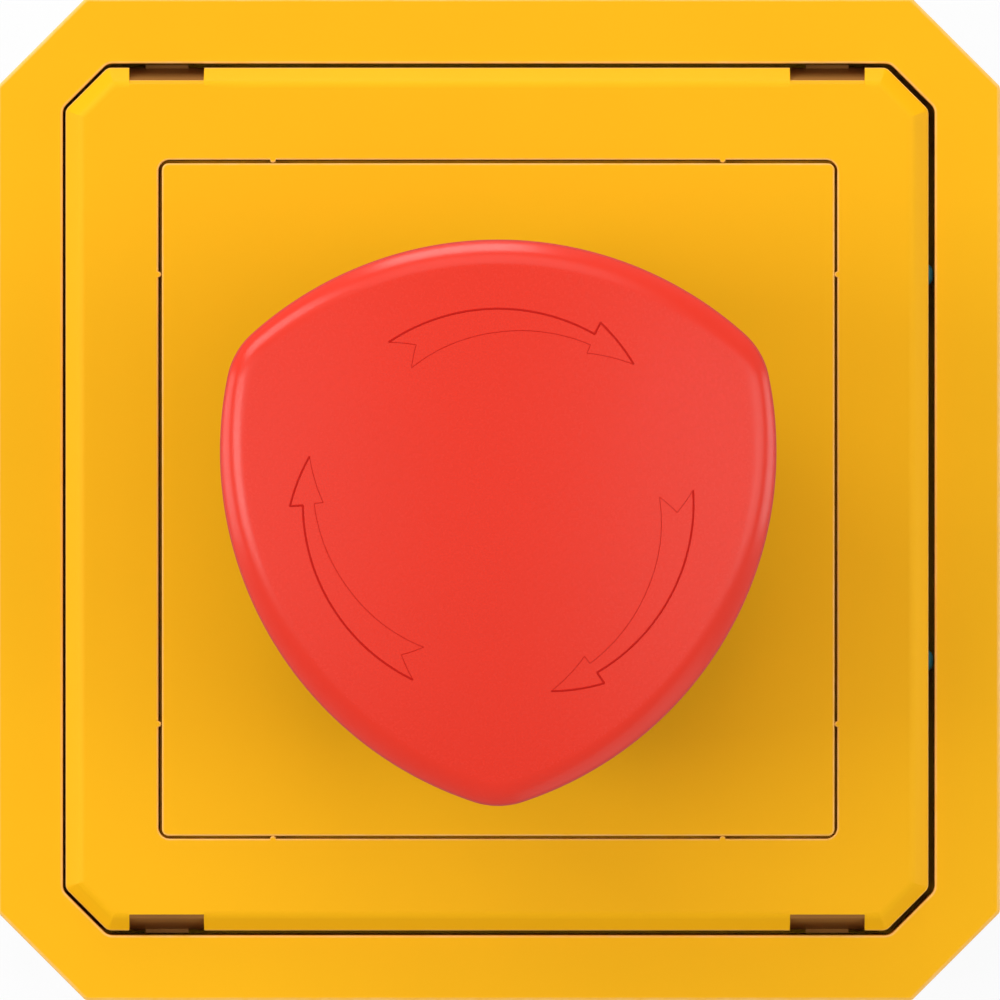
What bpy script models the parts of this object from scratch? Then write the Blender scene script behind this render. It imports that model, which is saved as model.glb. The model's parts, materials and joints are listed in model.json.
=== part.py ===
"""Emergency stop push button in a square surface case with a 45 mm control module.

The wall is the plane z = 0, +Z points out of the front and +Y is up on the wall.
Heights are stacked from the wall to the head, so a longer spring, a deeper contact
block or a longer stroke makes the case deeper. Every moving piece slides along the
Z axis or turns about it.
"""
import bpy
import bmesh
from math import atan2, cos, pi, radians, sin, sqrt
from mathutils import Matrix, Vector

MM = 0.001

# Fits
CLEARANCE = 0.3 * MM            # between pieces that touch, slide or seat on each other
OVERSHOOT = 1.0 * MM            # how far a cutter runs past the face it opens

# Bands round the module's window, which drives the plan
MODULE_WINDOW = 45.1 * MM       # takes a 45 mm control module
CARRIER_BAND = 6.35 * MM        # module's window to the case's window
FACE_RING = 4.35 * MM           # case's window to the case's side

# Case: wall box and front cover
CASE_CHAMFER = 5.88 * MM        # leg of the cut corner
CASE_WALL = 2.4 * MM
CASE_EDGE = 0.3 * MM            # rounding of the cover's front edge
BACK_WALL = 2.5 * MM
BOX_DEPTH = 30.0 * MM           # wall to the box's rim
LIP_WIDTH = 1.0 * MM
LIP_HEIGHT = 3.0 * MM
CASE_SEAL = 1.0 * MM
POST_RADIUS = 3.9 * MM
POST_DROP = 4.0 * MM            # the posts end this far below the rim
CASE_SCREW_SHANK = 1.6 * MM
CASE_SCREW_HEAD = 2.9 * MM
CASE_SCREW_HEAD_HEIGHT = 2.1 * MM
CASE_SCREW_BITE = 8.0 * MM      # how deep the screw goes into its post
BOSS_WALL = 0.9 * MM            # wall round the sunk screw head

# Window, tray and carrier frame
WINDOW_CHAMFER = 2.96 * MM
TRAY_DEPTH = 6.0 * MM           # cover's face down to the tray floor
TRAY_FLOOR = 2.0 * MM
TRAY_HOLE_MARGIN = 0.45 * MM    # tray's hole outside the module's window, on each side
TRAY_HOLE_RADIUS = 2.0 * MM
FRAME_GAP = 0.3 * MM            # light line between the window and the carrier
FRAME_SHIFT = -0.09 * MM        # sideways play that the carrier has taken up
FRAME_PROUD = 1.0 * MM          # carrier's face above the cover's face
FRAME_BEVEL = 1.0 * MM
FRAME_SKIN = 2.0 * MM
FRAME_OUTER_WALL = 1.6 * MM
FRAME_INNER_WALL = 1.5 * MM
FRAME_SEAL = 0.8 * MM
FRAME_SEAL_WIDTH = 4.6 * MM
LEDGE_HEIGHT = 0.8 * MM
LEDGE_WIDTH = 1.5 * MM
NOTCH_INSET = 6.7 * MM          # carrier's side to the middle of a notch
NOTCH_WIDTH = 4.95 * MM
NOTCH_DEPTH = 1.05 * MM
NOTCH_DROP = 3.6 * MM
NOTCH_EDGE = 0.25 * MM          # bevel between the carrier's face and the notch's ramp
TONGUE_WIDTH = 2.88 * MM
TONGUE_DROP = 3.4 * MM          # carrier's face down to a tongue
TONGUE_REACH = 0.2 * MM         # how far the clip tongue stands into the window gap
TONGUE_HEIGHT = 1.2 * MM
TAB_UP = 14.9 * MM              # the two seal tabs that show in the right-hand gap
TAB_DOWN = -10.7 * MM
TAB_WIDTH = 1.5 * MM
TAB_THICKNESS = 0.45 * MM
TAB_BELOW_FACE = 1.9 * MM
NUB_OFFSET = 14.9 * MM
NUB_RADIUS = 0.22 * MM
NUB_HEIGHT = 1.2 * MM

# Module plate
MODULE_WINDOW_RADIUS = 0.75 * MM
PLATE_THICKNESS = 2.0 * MM
PLATE_WALL = 1.3 * MM

# Push mechanism
STROKE = 5.5 * MM
ROD_RADIUS = 2.5 * MM
GUIDE_RADIUS = 5.1 * MM
GUIDE_LENGTH = 7.4 * MM
SEAT_THICKNESS = 1.5 * MM       # flange that the return spring pushes on
CORE_RADIUS = 7.5 * MM
SPIGOT_RADIUS = 5.2 * MM
SPIGOT_LENGTH = 7.0 * MM
LATCH_NOSE = 4.0 * MM           # stem's end up to the hairpin's plane
LATCH_WIRE = 0.5 * MM
LATCH_LEG = 16.5 * MM
GROOVE_RADIUS = 6.2 * MM
GROOVE_HEIGHT = 1.8 * MM
CAM_REACH = 7.2 * MM
CAM_FLAT = 6.5 * MM
CAM_LOBE = 2.4 * MM
RETURN_SPRING_LENGTH = 13.0 * MM
RETURN_SPRING_WIRE = 0.45 * MM
RETURN_SPRING_TURNS = 6
BARREL_WALL = 2.4 * MM
COLLAR_WALL = 5.4 * MM
COLLAR_GUIDE = 5.4 * MM         # latch groove up to the collar's mouth
COLLAR_PROUD = 3.5 * MM         # collar above the plate
FLANGE_MARGIN = 1.95 * MM       # flange to the skirt of the plate
FLANGE_THICKNESS = 2.3 * MM
SEAL_DEPTH = 2.2 * MM
SEAL_WALL = 2.2 * MM            # collar's wall outside the lip seal
SEAL_LIP = 1.1 * MM
LOCK_RING_WIDTH = 2.5 * MM
LOCK_RING_HEIGHT = 2.4 * MM
LOCK_RING_NOTCH = 3.0 * MM
LOCK_RING_NOTCHES = 6
HEAD_SCREW_SHANK = 1.4 * MM
HEAD_SCREW_HEAD = 3.0 * MM
HEAD_SCREW_HEAD_HEIGHT = 2.2 * MM
HEAD_SCREW_BITE = 4.0 * MM

# Head: three flat sides joined by three lobes
HEAD_REACH = 19.85 * MM         # axis to the tip of a lobe
HEAD_FLAT = 17.35 * MM          # axis to the middle of a side
HEAD_LOBE_RADIUS = 5.1 * MM
HEAD_HEIGHT = 16.5 * MM
HEAD_STOP = 0.5 * MM            # left between the rim and the collar when it is pushed in
HEAD_DRAFT = 2.0 * MM           # the sides lean in by this much towards the rim
HEAD_FOOT = 0.7 * MM            # rounding under the rim
HEAD_EDGE = 1.6 * MM            # rounding of the front edge
HEAD_CROWN = 1.0 * MM
HEAD_POCKET_WIDTH = 5.2 * MM
HEAD_POCKET_DEPTH = 5.0 * MM
HUB_WALL = 3.5 * MM
HUB_RECESS = 1.0 * MM           # the hub ends this far inside the rim

# Contact block
REAR_GAP = 0.6 * MM
BLOCK_FLOOR = 1.5 * MM
BLOCK_WALL = 1.7 * MM
BLOCK_END_WALL = 1.4 * MM
BLOCK_LID = 1.3 * MM
LID_TAB_WIDTH = 6.0 * MM
LID_TAB_THICKNESS = 1.0 * MM
LID_TAB_LENGTH = 5.4 * MM
POLE_PITCH = 11.2 * MM
CARRIER_DEPTH = 6.0 * MM
CARRIER_SOLE = 1.2 * MM
CARRIER_CHEEK = 1.0 * MM
CARRIER_FLOOR_GAP = 0.5 * MM
CARRIER_WINDOW = 4.8 * MM
CARRIER_BOSS = 3.1 * MM
CARRIER_POCKET = 2.6 * MM
BRIDGE_LENGTH = 14.8 * MM
BRIDGE_WIDTH = 3.0 * MM
STRIP_THICKNESS = 0.8 * MM
STRIP_OVERLAP = 2.2 * MM
STRIP_RISER = 1.2 * MM          # bridge's end to the strip's upright part
TERMINAL_DEPTH = 4.8 * MM
TERMINAL_LENGTH = 5.6 * MM
TERMINAL_WIDTH = 5.4 * MM
CLAMP_THICKNESS = 0.9 * MM
WIRE_WINDOW_WIDTH = 3.8 * MM
TERMINAL_SCREW_SHANK = 0.9 * MM
TERMINAL_SCREW_HEAD = 2.1 * MM
TERMINAL_SCREW_HEAD_HEIGHT = 1.9 * MM
CARRIER_SPRING_WIRE = 0.25 * MM
CARRIER_SPRING_TURNS = 5
CONTACT_SPRING_WIRE = 0.2 * MM
CONTACT_SPRING_RADIUS = 1.1 * MM
CONTACT_SPRING_TURNS = 3
SADDLE_THICKNESS = 2.0 * MM
SADDLE_WIDTH = 20.0 * MM
EAR_OFFSET = 7.0 * MM
EAR_WIDTH = 6.0 * MM
EAR_REACH = 5.7 * MM
EAR_THICKNESS = 2.4 * MM
BLOCK_SCREW_SHANK = 1.25 * MM
BLOCK_SCREW_HEAD = 2.4 * MM
BLOCK_SCREW_HEAD_HEIGHT = 1.8 * MM
SADDLE_BOSS_RADIUS = 2.9 * MM
SADDLE_BOSS_HEIGHT = 3.0 * MM

# Cable entries and wall fixing
ENTRY_HEIGHT = 15.0 * MM
ENTRY_RADIUS = 9.0 * MM
ENTRY_RIM = 2.0 * MM
ENTRY_RECESS = 0.9 * MM
GROMMET_SKIN = 1.0 * MM
FIXING_INSET = 9.15 * MM        # case's side to a wall-fixing hole
FIXING_RADIUS = 2.6 * MM
PLUG_FLANGE = 1.2 * MM

# Roundness
FINE = 32
ROUND = 20
SMALL = 12
CORE_SIDES = 24
SCREW_SIDES = 14
GROMMET_SIDES = 18

# Plan sizes that follow
WINDOW_WIDTH = MODULE_WINDOW + 2 * CARRIER_BAND
CASE_WIDTH = WINDOW_WIDTH + 2 * FACE_RING
CASE_HALF = CASE_WIDTH / 2
FIXING_AT = CASE_HALF - FIXING_INSET
INNER_HALF = CASE_HALF - CASE_WALL
WINDOW_HALF = WINDOW_WIDTH / 2
FRAME_HALF = WINDOW_HALF - FRAME_GAP
NOTCH_OFFSET = FRAME_HALF - NOTCH_INSET
MODULE_HALF = MODULE_WINDOW / 2
TRAY_HOLE_HALF = MODULE_HALF + TRAY_HOLE_MARGIN
PLATE_HALF = MODULE_HALF - CLEARANCE
FLANGE_RADIUS = PLATE_HALF - PLATE_WALL - FLANGE_MARGIN
BOSS_RADIUS = CASE_SCREW_HEAD + CLEARANCE + BOSS_WALL
CORNER_REACH = (CASE_WIDTH - CASE_CHAMFER) / sqrt(2) - CASE_WALL
CASE_SCREW_AT = (CORNER_REACH - BOSS_RADIUS - CLEARANCE) / sqrt(2)
BORE_RADIUS = CORE_RADIUS + CLEARANCE
BARREL_RADIUS = BORE_RADIUS + BARREL_WALL
COLLAR_RADIUS = BORE_RADIUS + COLLAR_WALL
PLATE_BORE = COLLAR_RADIUS + CLEARANCE
CORE_BORE = GUIDE_RADIUS + CLEARANCE
LATCH_AT = BORE_RADIUS + LATCH_WIRE
POLE_AT = POLE_PITCH / 2
BRIDGE_SLOT = BRIDGE_WIDTH + 2 * CLEARANCE
CARRIER_HALF = POLE_AT + BRIDGE_SLOT / 2 + CARRIER_CHEEK
CAVITY_Y = CARRIER_HALF + CLEARANCE
BLOCK_Y = CAVITY_Y + BLOCK_WALL
STRIP_START = BRIDGE_LENGTH / 2 - STRIP_OVERLAP
RISER_X = BRIDGE_LENGTH / 2 + STRIP_RISER
CAVITY_X = BRIDGE_LENGTH / 2 + 2 * CLEARANCE
TERMINAL_X = RISER_X + STRIP_THICKNESS + 2 * CLEARANCE
TERMINAL_END = TERMINAL_X + TERMINAL_LENGTH
TERMINAL_AT = TERMINAL_X + TERMINAL_LENGTH / 2
BLOCK_X = TERMINAL_END + BLOCK_END_WALL
EAR_AT = BLOCK_Y + EAR_REACH - BLOCK_SCREW_HEAD - CLEARANCE

# Heights that follow, from the wall outwards
BLOCK_Z = BACK_WALL + REAR_GAP
BLOCK_FLOOR_Z = BLOCK_Z + BLOCK_FLOOR
CARRIER_Z = BLOCK_FLOOR_Z + STROKE + CARRIER_FLOOR_GAP
SLOT_Z = CARRIER_Z + CARRIER_SOLE
BRIDGE_NO_Z = SLOT_Z + CLEARANCE
STRIP_NO_Z = BRIDGE_NO_Z - STROKE - CLEARANCE - STRIP_THICKNESS
SLOT_TOP_Z = SLOT_Z + CARRIER_WINDOW
BRIDGE_NC_Z = SLOT_TOP_Z - CLEARANCE - STRIP_THICKNESS
STRIP_NC_Z = BRIDGE_NC_Z + STRIP_THICKNESS + CLEARANCE
CARRIER_TOP_Z = max(SLOT_TOP_Z + CARRIER_SOLE, STRIP_NC_Z + STRIP_THICKNESS)
LID_Z = CARRIER_TOP_Z + CLEARANCE
BLOCK_TOP_Z = LID_Z - CLEARANCE
LID_TOP_Z = LID_Z + BLOCK_LID
BOSS_TOP_Z = LID_Z + BLOCK_LID / 2
STRIP_END_Z = BLOCK_TOP_Z - TERMINAL_DEPTH
ROD_TIP_Z = BOSS_TOP_Z + CLEARANCE
SADDLE_Z = LID_TOP_Z + CLEARANCE
BORE_FLOOR_Z = SADDLE_Z + SADDLE_THICKNESS
SPRING_Z = BORE_FLOOR_Z + CLEARANCE
SPRING_TOP_Z = SPRING_Z + RETURN_SPRING_LENGTH
SEAT_Z = SPRING_TOP_Z + CLEARANCE
SEAT_TOP_Z = SEAT_Z + SEAT_THICKNESS
CORE_Z = SEAT_TOP_Z + CLEARANCE
LATCH_Z = CORE_Z + LATCH_NOSE
GROOVE_Z = LATCH_Z + STROKE
COLLAR_Z = GROOVE_Z + COLLAR_GUIDE
FACE_Z = COLLAR_Z - COLLAR_PROUD
CASE_Z = FACE_Z - FRAME_PROUD
TRAY_Z = CASE_Z - TRAY_DEPTH
TRAY_UNDER_Z = TRAY_Z - TRAY_FLOOR
FRAME_SEAL_Z = TRAY_Z + CLEARANCE
FRAME_Z = FRAME_SEAL_Z + FRAME_SEAL + CLEARANCE
PLATE_Z = FRAME_Z + LEDGE_HEIGHT + CLEARANCE
PLATE_UNDER_Z = FACE_Z - PLATE_THICKNESS
FLANGE_TOP_Z = PLATE_UNDER_Z - CLEARANCE
FLANGE_Z = FLANGE_TOP_Z - FLANGE_THICKNESS
RIM_Z = COLLAR_Z + STROKE + HEAD_STOP
HEAD_TOP_Z = RIM_Z + HEAD_HEIGHT
HUB_Z = RIM_Z + HUB_RECESS
CORE_TOP_Z = HUB_Z - CLEARANCE
SOCKET_Z = CORE_TOP_Z + SPIGOT_LENGTH + CLEARANCE
GUIDE_TOP_Z = SEAT_TOP_Z + GUIDE_LENGTH
LIP_TOP_Z = BOX_DEPTH + LIP_HEIGHT
CASE_SEAL_Z = LIP_TOP_Z + CLEARANCE
REBATE_Z = CASE_SEAL_Z + CASE_SEAL + CLEARANCE
SKIRT_Z = BOX_DEPTH + CLEARANCE
POST_TOP_Z = BOX_DEPTH - POST_DROP

PART = "emergency_stop_push_button"


def clear_scene():
    """Take every object and collection out of the scene."""
    for thing in list(bpy.data.objects):
        bpy.data.objects.remove(thing, do_unlink=True)
    for group in list(bpy.data.collections):
        bpy.data.collections.remove(group)


def new_collection(name):
    group = bpy.data.collections.new(name)
    bpy.context.scene.collection.children.link(group)
    return group


clear_scene()
PIECES = new_collection(PART)
CUTTERS = new_collection(PART + "_cutters")


def finish(name, colour, roughness, metallic=0.0):
    """A Principled material; the colour is linear."""
    material = bpy.data.materials.new(name)
    material.use_nodes = True
    shader = material.node_tree.nodes["Principled BSDF"]
    shader.inputs["Base Color"].default_value = (*colour, 1.0)
    shader.inputs["Roughness"].default_value = roughness
    shader.inputs["Metallic"].default_value = metallic
    material.diffuse_color = (*colour, 1.0)
    return material


YELLOW = (0.87, 0.43, 0.012)
RED = (0.87, 0.052, 0.034)


def add(name, data, material=None):
    """Put data in the scene as a piece, or as a hidden cutter if it has no finish."""
    thing = bpy.data.objects.new(name, data)
    if material is None:
        CUTTERS.objects.link(thing)
        thing.hide_render = True
        thing.display_type = 'WIRE'
        return thing
    PIECES.objects.link(thing)
    if not data.materials:
        data.materials.append(material)
    return thing


def smooth(mesh):
    mesh.shade_smooth()
    mesh.set_sharp_from_angle(angle=radians(35))


def mesh_of(bm, name):
    mesh = bpy.data.meshes.new(name)
    bm.to_mesh(mesh)
    bm.free()
    smooth(mesh)
    return mesh


def upright_edges(bm):
    return [e for e in bm.edges if abs(e.verts[0].co.z - e.verts[1].co.z) > 1e-7]


def add_box(bm, x, y, z):
    """A box between the two values of each of x, y and z."""
    low, high = Vector((x[0], y[0], z[0])), Vector((x[1], y[1], z[1]))
    place = Matrix.LocRotScale((low + high) / 2, None, high - low)
    return bmesh.ops.create_cube(bm, size=1.0, matrix=place)["verts"]


def box(name, x, y, z, material=None, corner=0.0, steps=1, edge=0.0, edge_steps=1):
    """A box with its upright edges cut or rounded by corner, and its top edge by edge."""
    bm = bmesh.new()
    add_box(bm, x, y, z)
    if corner > 0:
        bmesh.ops.bevel(bm, geom=upright_edges(bm), offset=corner, segments=steps,
                        profile=0.5, affect='EDGES')
    if edge > 0:
        top = [e for e in bm.edges if all(v.co.z > z[1] - 1e-7 for v in e.verts)]
        bmesh.ops.bevel(bm, geom=top, offset=edge, segments=edge_steps,
                        profile=0.5, affect='EDGES')
    return add(name, mesh_of(bm, name), material)


def square(name, half, z, material=None, corner=0.0, steps=1, edge=0.0, edge_steps=1):
    return box(name, (-half, half), (-half, half), z, material, corner, steps, edge, edge_steps)


def boxes(name, extents, material=None):
    """Separate boxes in one mesh, for a cutter or a set of ribs."""
    bm = bmesh.new()
    for x, y, z in extents:
        add_box(bm, x, y, z)
    return add(name, mesh_of(bm, name), material)


def pins(name, radius, z, places=((0, 0),), sides=ROUND, material=None, axis='Z'):
    """Cylinders from z[0] to z[1] along an axis, one at each place across it."""
    turn = Matrix.Rotation(-pi / 2, 4, 'X') if axis == 'Y' else Matrix.Identity(4)
    bm = bmesh.new()
    for u, v in places:
        if axis == 'Y':
            centre = Vector((u, (z[0] + z[1]) / 2, v))
        else:
            centre = Vector((u, v, (z[0] + z[1]) / 2))
        bmesh.ops.create_cone(bm, cap_ends=True, segments=sides, radius1=radius, radius2=radius,
                              depth=z[1] - z[0], matrix=Matrix.Translation(centre) @ turn)
    return add(name, mesh_of(bm, name), material)


def turned(name, profile, material=None, ring=True, sides=FINE):
    """Turn a profile of (radius, height) about Z; it runs down its outer side."""
    edges = [(i, i + 1) for i in range(len(profile) - 1)]
    if ring:
        edges.append((len(profile) - 1, 0))
    mesh = bpy.data.meshes.new(name)
    mesh.from_pydata([(r, 0.0, h) for r, h in profile], edges, [])
    thing = add(name, mesh, material)
    screw = thing.modifiers.new("turn", 'SCREW')
    screw.axis = 'Z'
    screw.angle = 2 * pi
    screw.steps = screw.render_steps = sides
    screw.use_merge_vertices = True
    screw.merge_threshold = 1e-5
    screw.use_smooth_shade = True
    return thing


def ring_profile(inner, outer, z):
    return [(outer, z[1]), (outer, z[0]), (inner, z[0]), (inner, z[1])]


def flat_curve(name, points, thickness):
    """A closed flat outline, filled and extruded to a thickness about its plane."""
    curve = bpy.data.curves.new(name, 'CURVE')
    curve.dimensions = '2D'
    curve.fill_mode = 'BOTH'
    curve.extrude = thickness / 2
    line = curve.splines.new('POLY')
    line.points.add(len(points) - 1)
    for point, (u, v) in zip(line.points, points):
        point.co = (u, v, 0, 1)
    line.use_cyclic_u = True
    return bpy.data.objects.new(name, curve)


def prism(name, points, span, material=None, plane='XY'):
    """An outline in the XY, XZ or YZ plane, extruded over span along the third axis."""
    middle = (span[0] + span[1]) / 2
    turn = {'XY': Matrix.Identity(4),
            'XZ': Matrix.Rotation(pi / 2, 4, 'X'),
            'YZ': Matrix.Rotation(pi / 2, 4, 'Z') @ Matrix.Rotation(pi / 2, 4, 'X')}[plane]
    shift = {'XY': (0, 0, middle), 'XZ': (0, middle, 0), 'YZ': (middle, 0, 0)}[plane]
    guide = flat_curve(name, points, span[1] - span[0])
    bpy.context.scene.collection.objects.link(guide)
    seen = guide.evaluated_get(bpy.context.evaluated_depsgraph_get())
    mesh = bpy.data.meshes.new_from_object(seen)
    bpy.data.objects.remove(guide, do_unlink=True)
    bm = bmesh.new()
    bm.from_mesh(mesh)
    bmesh.ops.remove_doubles(bm, verts=bm.verts, dist=1e-7)
    bmesh.ops.transform(bm, matrix=Matrix.Translation(shift) @ turn, verts=bm.verts)
    bpy.data.meshes.remove(mesh)
    return add(name, mesh_of(bm, name), material)


def wire(name, points, radius, material):
    """A round wire along a line of points, with closed ends."""
    curve = bpy.data.curves.new(name, 'CURVE')
    curve.dimensions = '3D'
    curve.bevel_depth = radius
    curve.bevel_resolution = 2
    curve.use_fill_caps = True
    line = curve.splines.new('POLY')
    line.points.add(len(points) - 1)
    for point, place in zip(line.points, points):
        point.co = (*place, 1)
    return add(name, curve, material)


def coil(name, at, radius, wire_radius, z, turns, material, per_turn=8):
    """A compression spring with closed ends: the wire climbs only between its end turns."""
    flat = 0.6
    count = turns * per_turn
    low, high = z[0] + wire_radius, z[1] - wire_radius
    points = []
    for i in range(count + 1):
        turn = i / per_turn
        climb = min(max((turn - flat) / (turns - 2 * flat), 0.0), 1.0)
        angle = 2 * pi * turn
        points.append((at[0] + radius * cos(angle), at[1] + radius * sin(angle),
                       low + (high - low) * climb))
    return wire(name, points, wire_radius, material)


def boolean(target, tool, operation):
    change = target.modifiers.new(tool.name, 'BOOLEAN')
    change.operation = operation
    change.solver = 'EXACT'
    change.object = tool


def cut(target, *tools):
    for tool in tools:
        boolean(target, tool, 'DIFFERENCE')


def fuse(target, *tools):
    for tool in tools:
        boolean(target, tool, 'UNION')


def inset_chamfer(leg, inset):
    """Leg of a cut corner after the whole outline has moved inwards."""
    return leg - inset * (2 - sqrt(2))


def corners(offset):
    return [(sx * offset, sy * offset) for sx in (-1, 1) for sy in (-1, 1)]


def trefoil(reach, flat, lobe, inset=0.0, side_steps=10, lobe_steps=4):
    """Outline of three long side arcs and three lobe arcs that meet tangentially.

    A side arc is centred beyond the axis, opposite its side. Its radius and centre come
    from the reach of the lobes and the distance of the flats. An inset keeps all the
    centres and shortens all the radii.
    """
    lobe_at = reach - lobe
    tight = flat - lobe
    back = (lobe_at ** 2 - tight ** 2) / (2 * tight - lobe_at)
    side_radius = flat + back - inset
    points = []
    for k in range(3):
        side = radians(90 + 120 * k)
        centre = (-back * cos(side), -back * sin(side))
        before = (lobe_at * cos(side - radians(60)), lobe_at * sin(side - radians(60)))
        after = (lobe_at * cos(side + radians(60)), lobe_at * sin(side + radians(60)))
        start = atan2(before[1] - centre[1], before[0] - centre[0])
        sweep = 2 * ((side - start + pi) % (2 * pi) - pi)
        for i in range(side_steps):
            angle = start + sweep * i / side_steps
            points.append((centre[0] + side_radius * cos(angle),
                           centre[1] + side_radius * sin(angle)))
        first = start + sweep
        lobe_sweep = radians(120) - sweep
        for i in range(lobe_steps):
            angle = first + lobe_sweep * i / lobe_steps
            points.append((after[0] + (lobe - inset) * cos(angle),
                           after[1] + (lobe - inset) * sin(angle)))
    return points


def loft(name, rings, material=None):
    """Skin closed rings of equal counts, and close the first and the last."""
    bm = bmesh.new()
    rows = [[bm.verts.new(p) for p in ring] for ring in rings]
    for low, high in zip(rows, rows[1:]):
        for i in range(len(low)):
            j = (i + 1) % len(low)
            bm.faces.new((low[i], low[j], high[j], high[i]))
    bm.faces.new(reversed(rows[0]))
    bm.faces.new(rows[-1])
    return add(name, mesh_of(bm, name), material)


def screw(name, at, z_head, head, head_height, shank, z_tip, material, up=True, slot=0.0):
    """A screw: its head sits at z_head and its shank ends at z_tip."""
    way = 1 if up else -1
    top = z_head + way * head_height
    rim = 0.25 * head_height
    profile = [(0, top), (head - rim, top), (head, top - way * rim), (head, z_head),
               (shank, z_head), (shank, z_tip + way * shank), (0.4 * shank, z_tip), (0, z_tip)]
    if not up:
        profile.reverse()
    thing = turned(name, profile, material, ring=False, sides=SCREW_SIDES)
    if slot > 0:
        depth = 0.4 * head_height
        span = sorted((top + way * OVERSHOOT, top - way * depth))
        tool = box(name + "_slot", (-2 * head, 2 * head), (-slot / 2, slot / 2), span)
        tool.location = (*at, 0)
        cut(thing, tool)
    thing.location = (*at, 0)
    return thing


def make_back_box(material):
    """Eight-sided wall box with posts, cable entries and wall-fixing holes."""
    lip_half = INNER_HALF + LIP_WIDTH
    body = square("back_box", CASE_HALF, (0, BOX_DEPTH), material, CASE_CHAMFER)
    lip = square("box_lip", lip_half, (BACK_WALL, LIP_TOP_Z),
                 corner=inset_chamfer(CASE_CHAMFER, CASE_WALL - LIP_WIDTH))
    hollow = square("box_hollow", INNER_HALF, (BACK_WALL, LIP_TOP_Z + OVERSHOOT),
                    corner=inset_chamfer(CASE_CHAMFER, CASE_WALL))
    posts = pins("box_posts", POST_RADIUS, (BACK_WALL / 2, POST_TOP_Z), corners(CASE_SCREW_AT))
    pilot_z = POST_TOP_Z - CASE_SCREW_BITE - CLEARANCE
    pilots = pins("box_pilots", CASE_SCREW_SHANK + CLEARANCE,
                  (pilot_z, POST_TOP_Z + OVERSHOOT), corners(CASE_SCREW_AT), SMALL)
    entry = pins("box_entries", ENTRY_RADIUS, (-CASE_WIDTH, CASE_WIDTH), [(0, ENTRY_HEIGHT)],
                 FINE, axis='Y')
    rim_at = CASE_HALF - ENTRY_RECESS
    rims = [pins("box_entry_rim_top", ENTRY_RADIUS + ENTRY_RIM, (rim_at, CASE_WIDTH),
                 [(0, ENTRY_HEIGHT)], FINE, axis='Y'),
            pins("box_entry_rim_bottom", ENTRY_RADIUS + ENTRY_RIM, (-CASE_WIDTH, -rim_at),
                 [(0, ENTRY_HEIGHT)], FINE, axis='Y')]
    fixing = pins("box_fixings", FIXING_RADIUS, (-OVERSHOOT, BACK_WALL + OVERSHOOT),
                  [(-FIXING_AT, 0), (FIXING_AT, 0)])
    fuse(body, lip)
    cut(body, hollow)
    fuse(body, posts)
    cut(body, pilots, entry, *rims, fixing)


def make_case_gasket(material):
    """Flat seal that lies on the box's lip, under the cover's shoulder."""
    outer = INNER_HALF + LIP_WIDTH
    inner = INNER_HALF
    span = (CASE_SEAL_Z, CASE_SEAL_Z + CASE_SEAL)
    seal = square("case_gasket", outer, span, material,
                  inset_chamfer(CASE_CHAMFER, CASE_HALF - outer))
    hole = square("case_gasket_hole", inner, (span[0] - OVERSHOOT, span[1] + OVERSHOOT),
                  corner=inset_chamfer(CASE_CHAMFER, CASE_HALF - inner))
    cut(seal, hole)


def make_casing(material):
    """Front cover: skirt, face ring, window with a tray floor, and four screw bosses."""
    cover = square("casing", CASE_HALF, (SKIRT_Z, CASE_Z), material, CASE_CHAMFER,
                   edge=CASE_EDGE, edge_steps=2)
    hollow = square("casing_hollow", INNER_HALF, (SKIRT_Z - OVERSHOOT, TRAY_UNDER_Z),
                    corner=inset_chamfer(CASE_CHAMFER, CASE_WALL))
    rebate_half = INNER_HALF + LIP_WIDTH + CLEARANCE
    rebate = square("casing_rebate", rebate_half, (SKIRT_Z - OVERSHOOT, REBATE_Z),
                    corner=inset_chamfer(CASE_CHAMFER, CASE_HALF - rebate_half))
    window = square("casing_window", WINDOW_HALF, (TRAY_Z, CASE_Z + OVERSHOOT),
                    corner=WINDOW_CHAMFER)
    hole = square("casing_hole", TRAY_HOLE_HALF, (TRAY_UNDER_Z - OVERSHOOT, TRAY_Z + OVERSHOOT),
                  corner=TRAY_HOLE_RADIUS, steps=4)
    places = corners(CASE_SCREW_AT)
    bosses = pins("casing_bosses", BOSS_RADIUS,
                  (POST_TOP_Z + CLEARANCE, TRAY_UNDER_Z + TRAY_FLOOR / 2), places)
    sink_z = TRAY_Z - 2 * CLEARANCE - CASE_SCREW_HEAD_HEIGHT
    sinks = pins("casing_sinks", CASE_SCREW_HEAD + CLEARANCE, (sink_z, TRAY_Z + OVERSHOOT), places)
    holes = pins("casing_holes", CASE_SCREW_SHANK + CLEARANCE,
                 (POST_TOP_Z - OVERSHOOT, TRAY_Z), places, SMALL)
    cut(cover, hollow, rebate, window, hole)
    fuse(cover, bosses)
    cut(cover, sinks, holes)


def make_case_screws(material):
    seat = TRAY_Z - CLEARANCE - CASE_SCREW_HEAD_HEIGHT
    tip = POST_TOP_Z - CASE_SCREW_BITE
    for number, place in enumerate(corners(CASE_SCREW_AT), 1):
        screw(f"case_screw_{number}", place, seat, CASE_SCREW_HEAD, CASE_SCREW_HEAD_HEIGHT,
              CASE_SCREW_SHANK, tip, material, slot=0.8 * MM)


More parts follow.
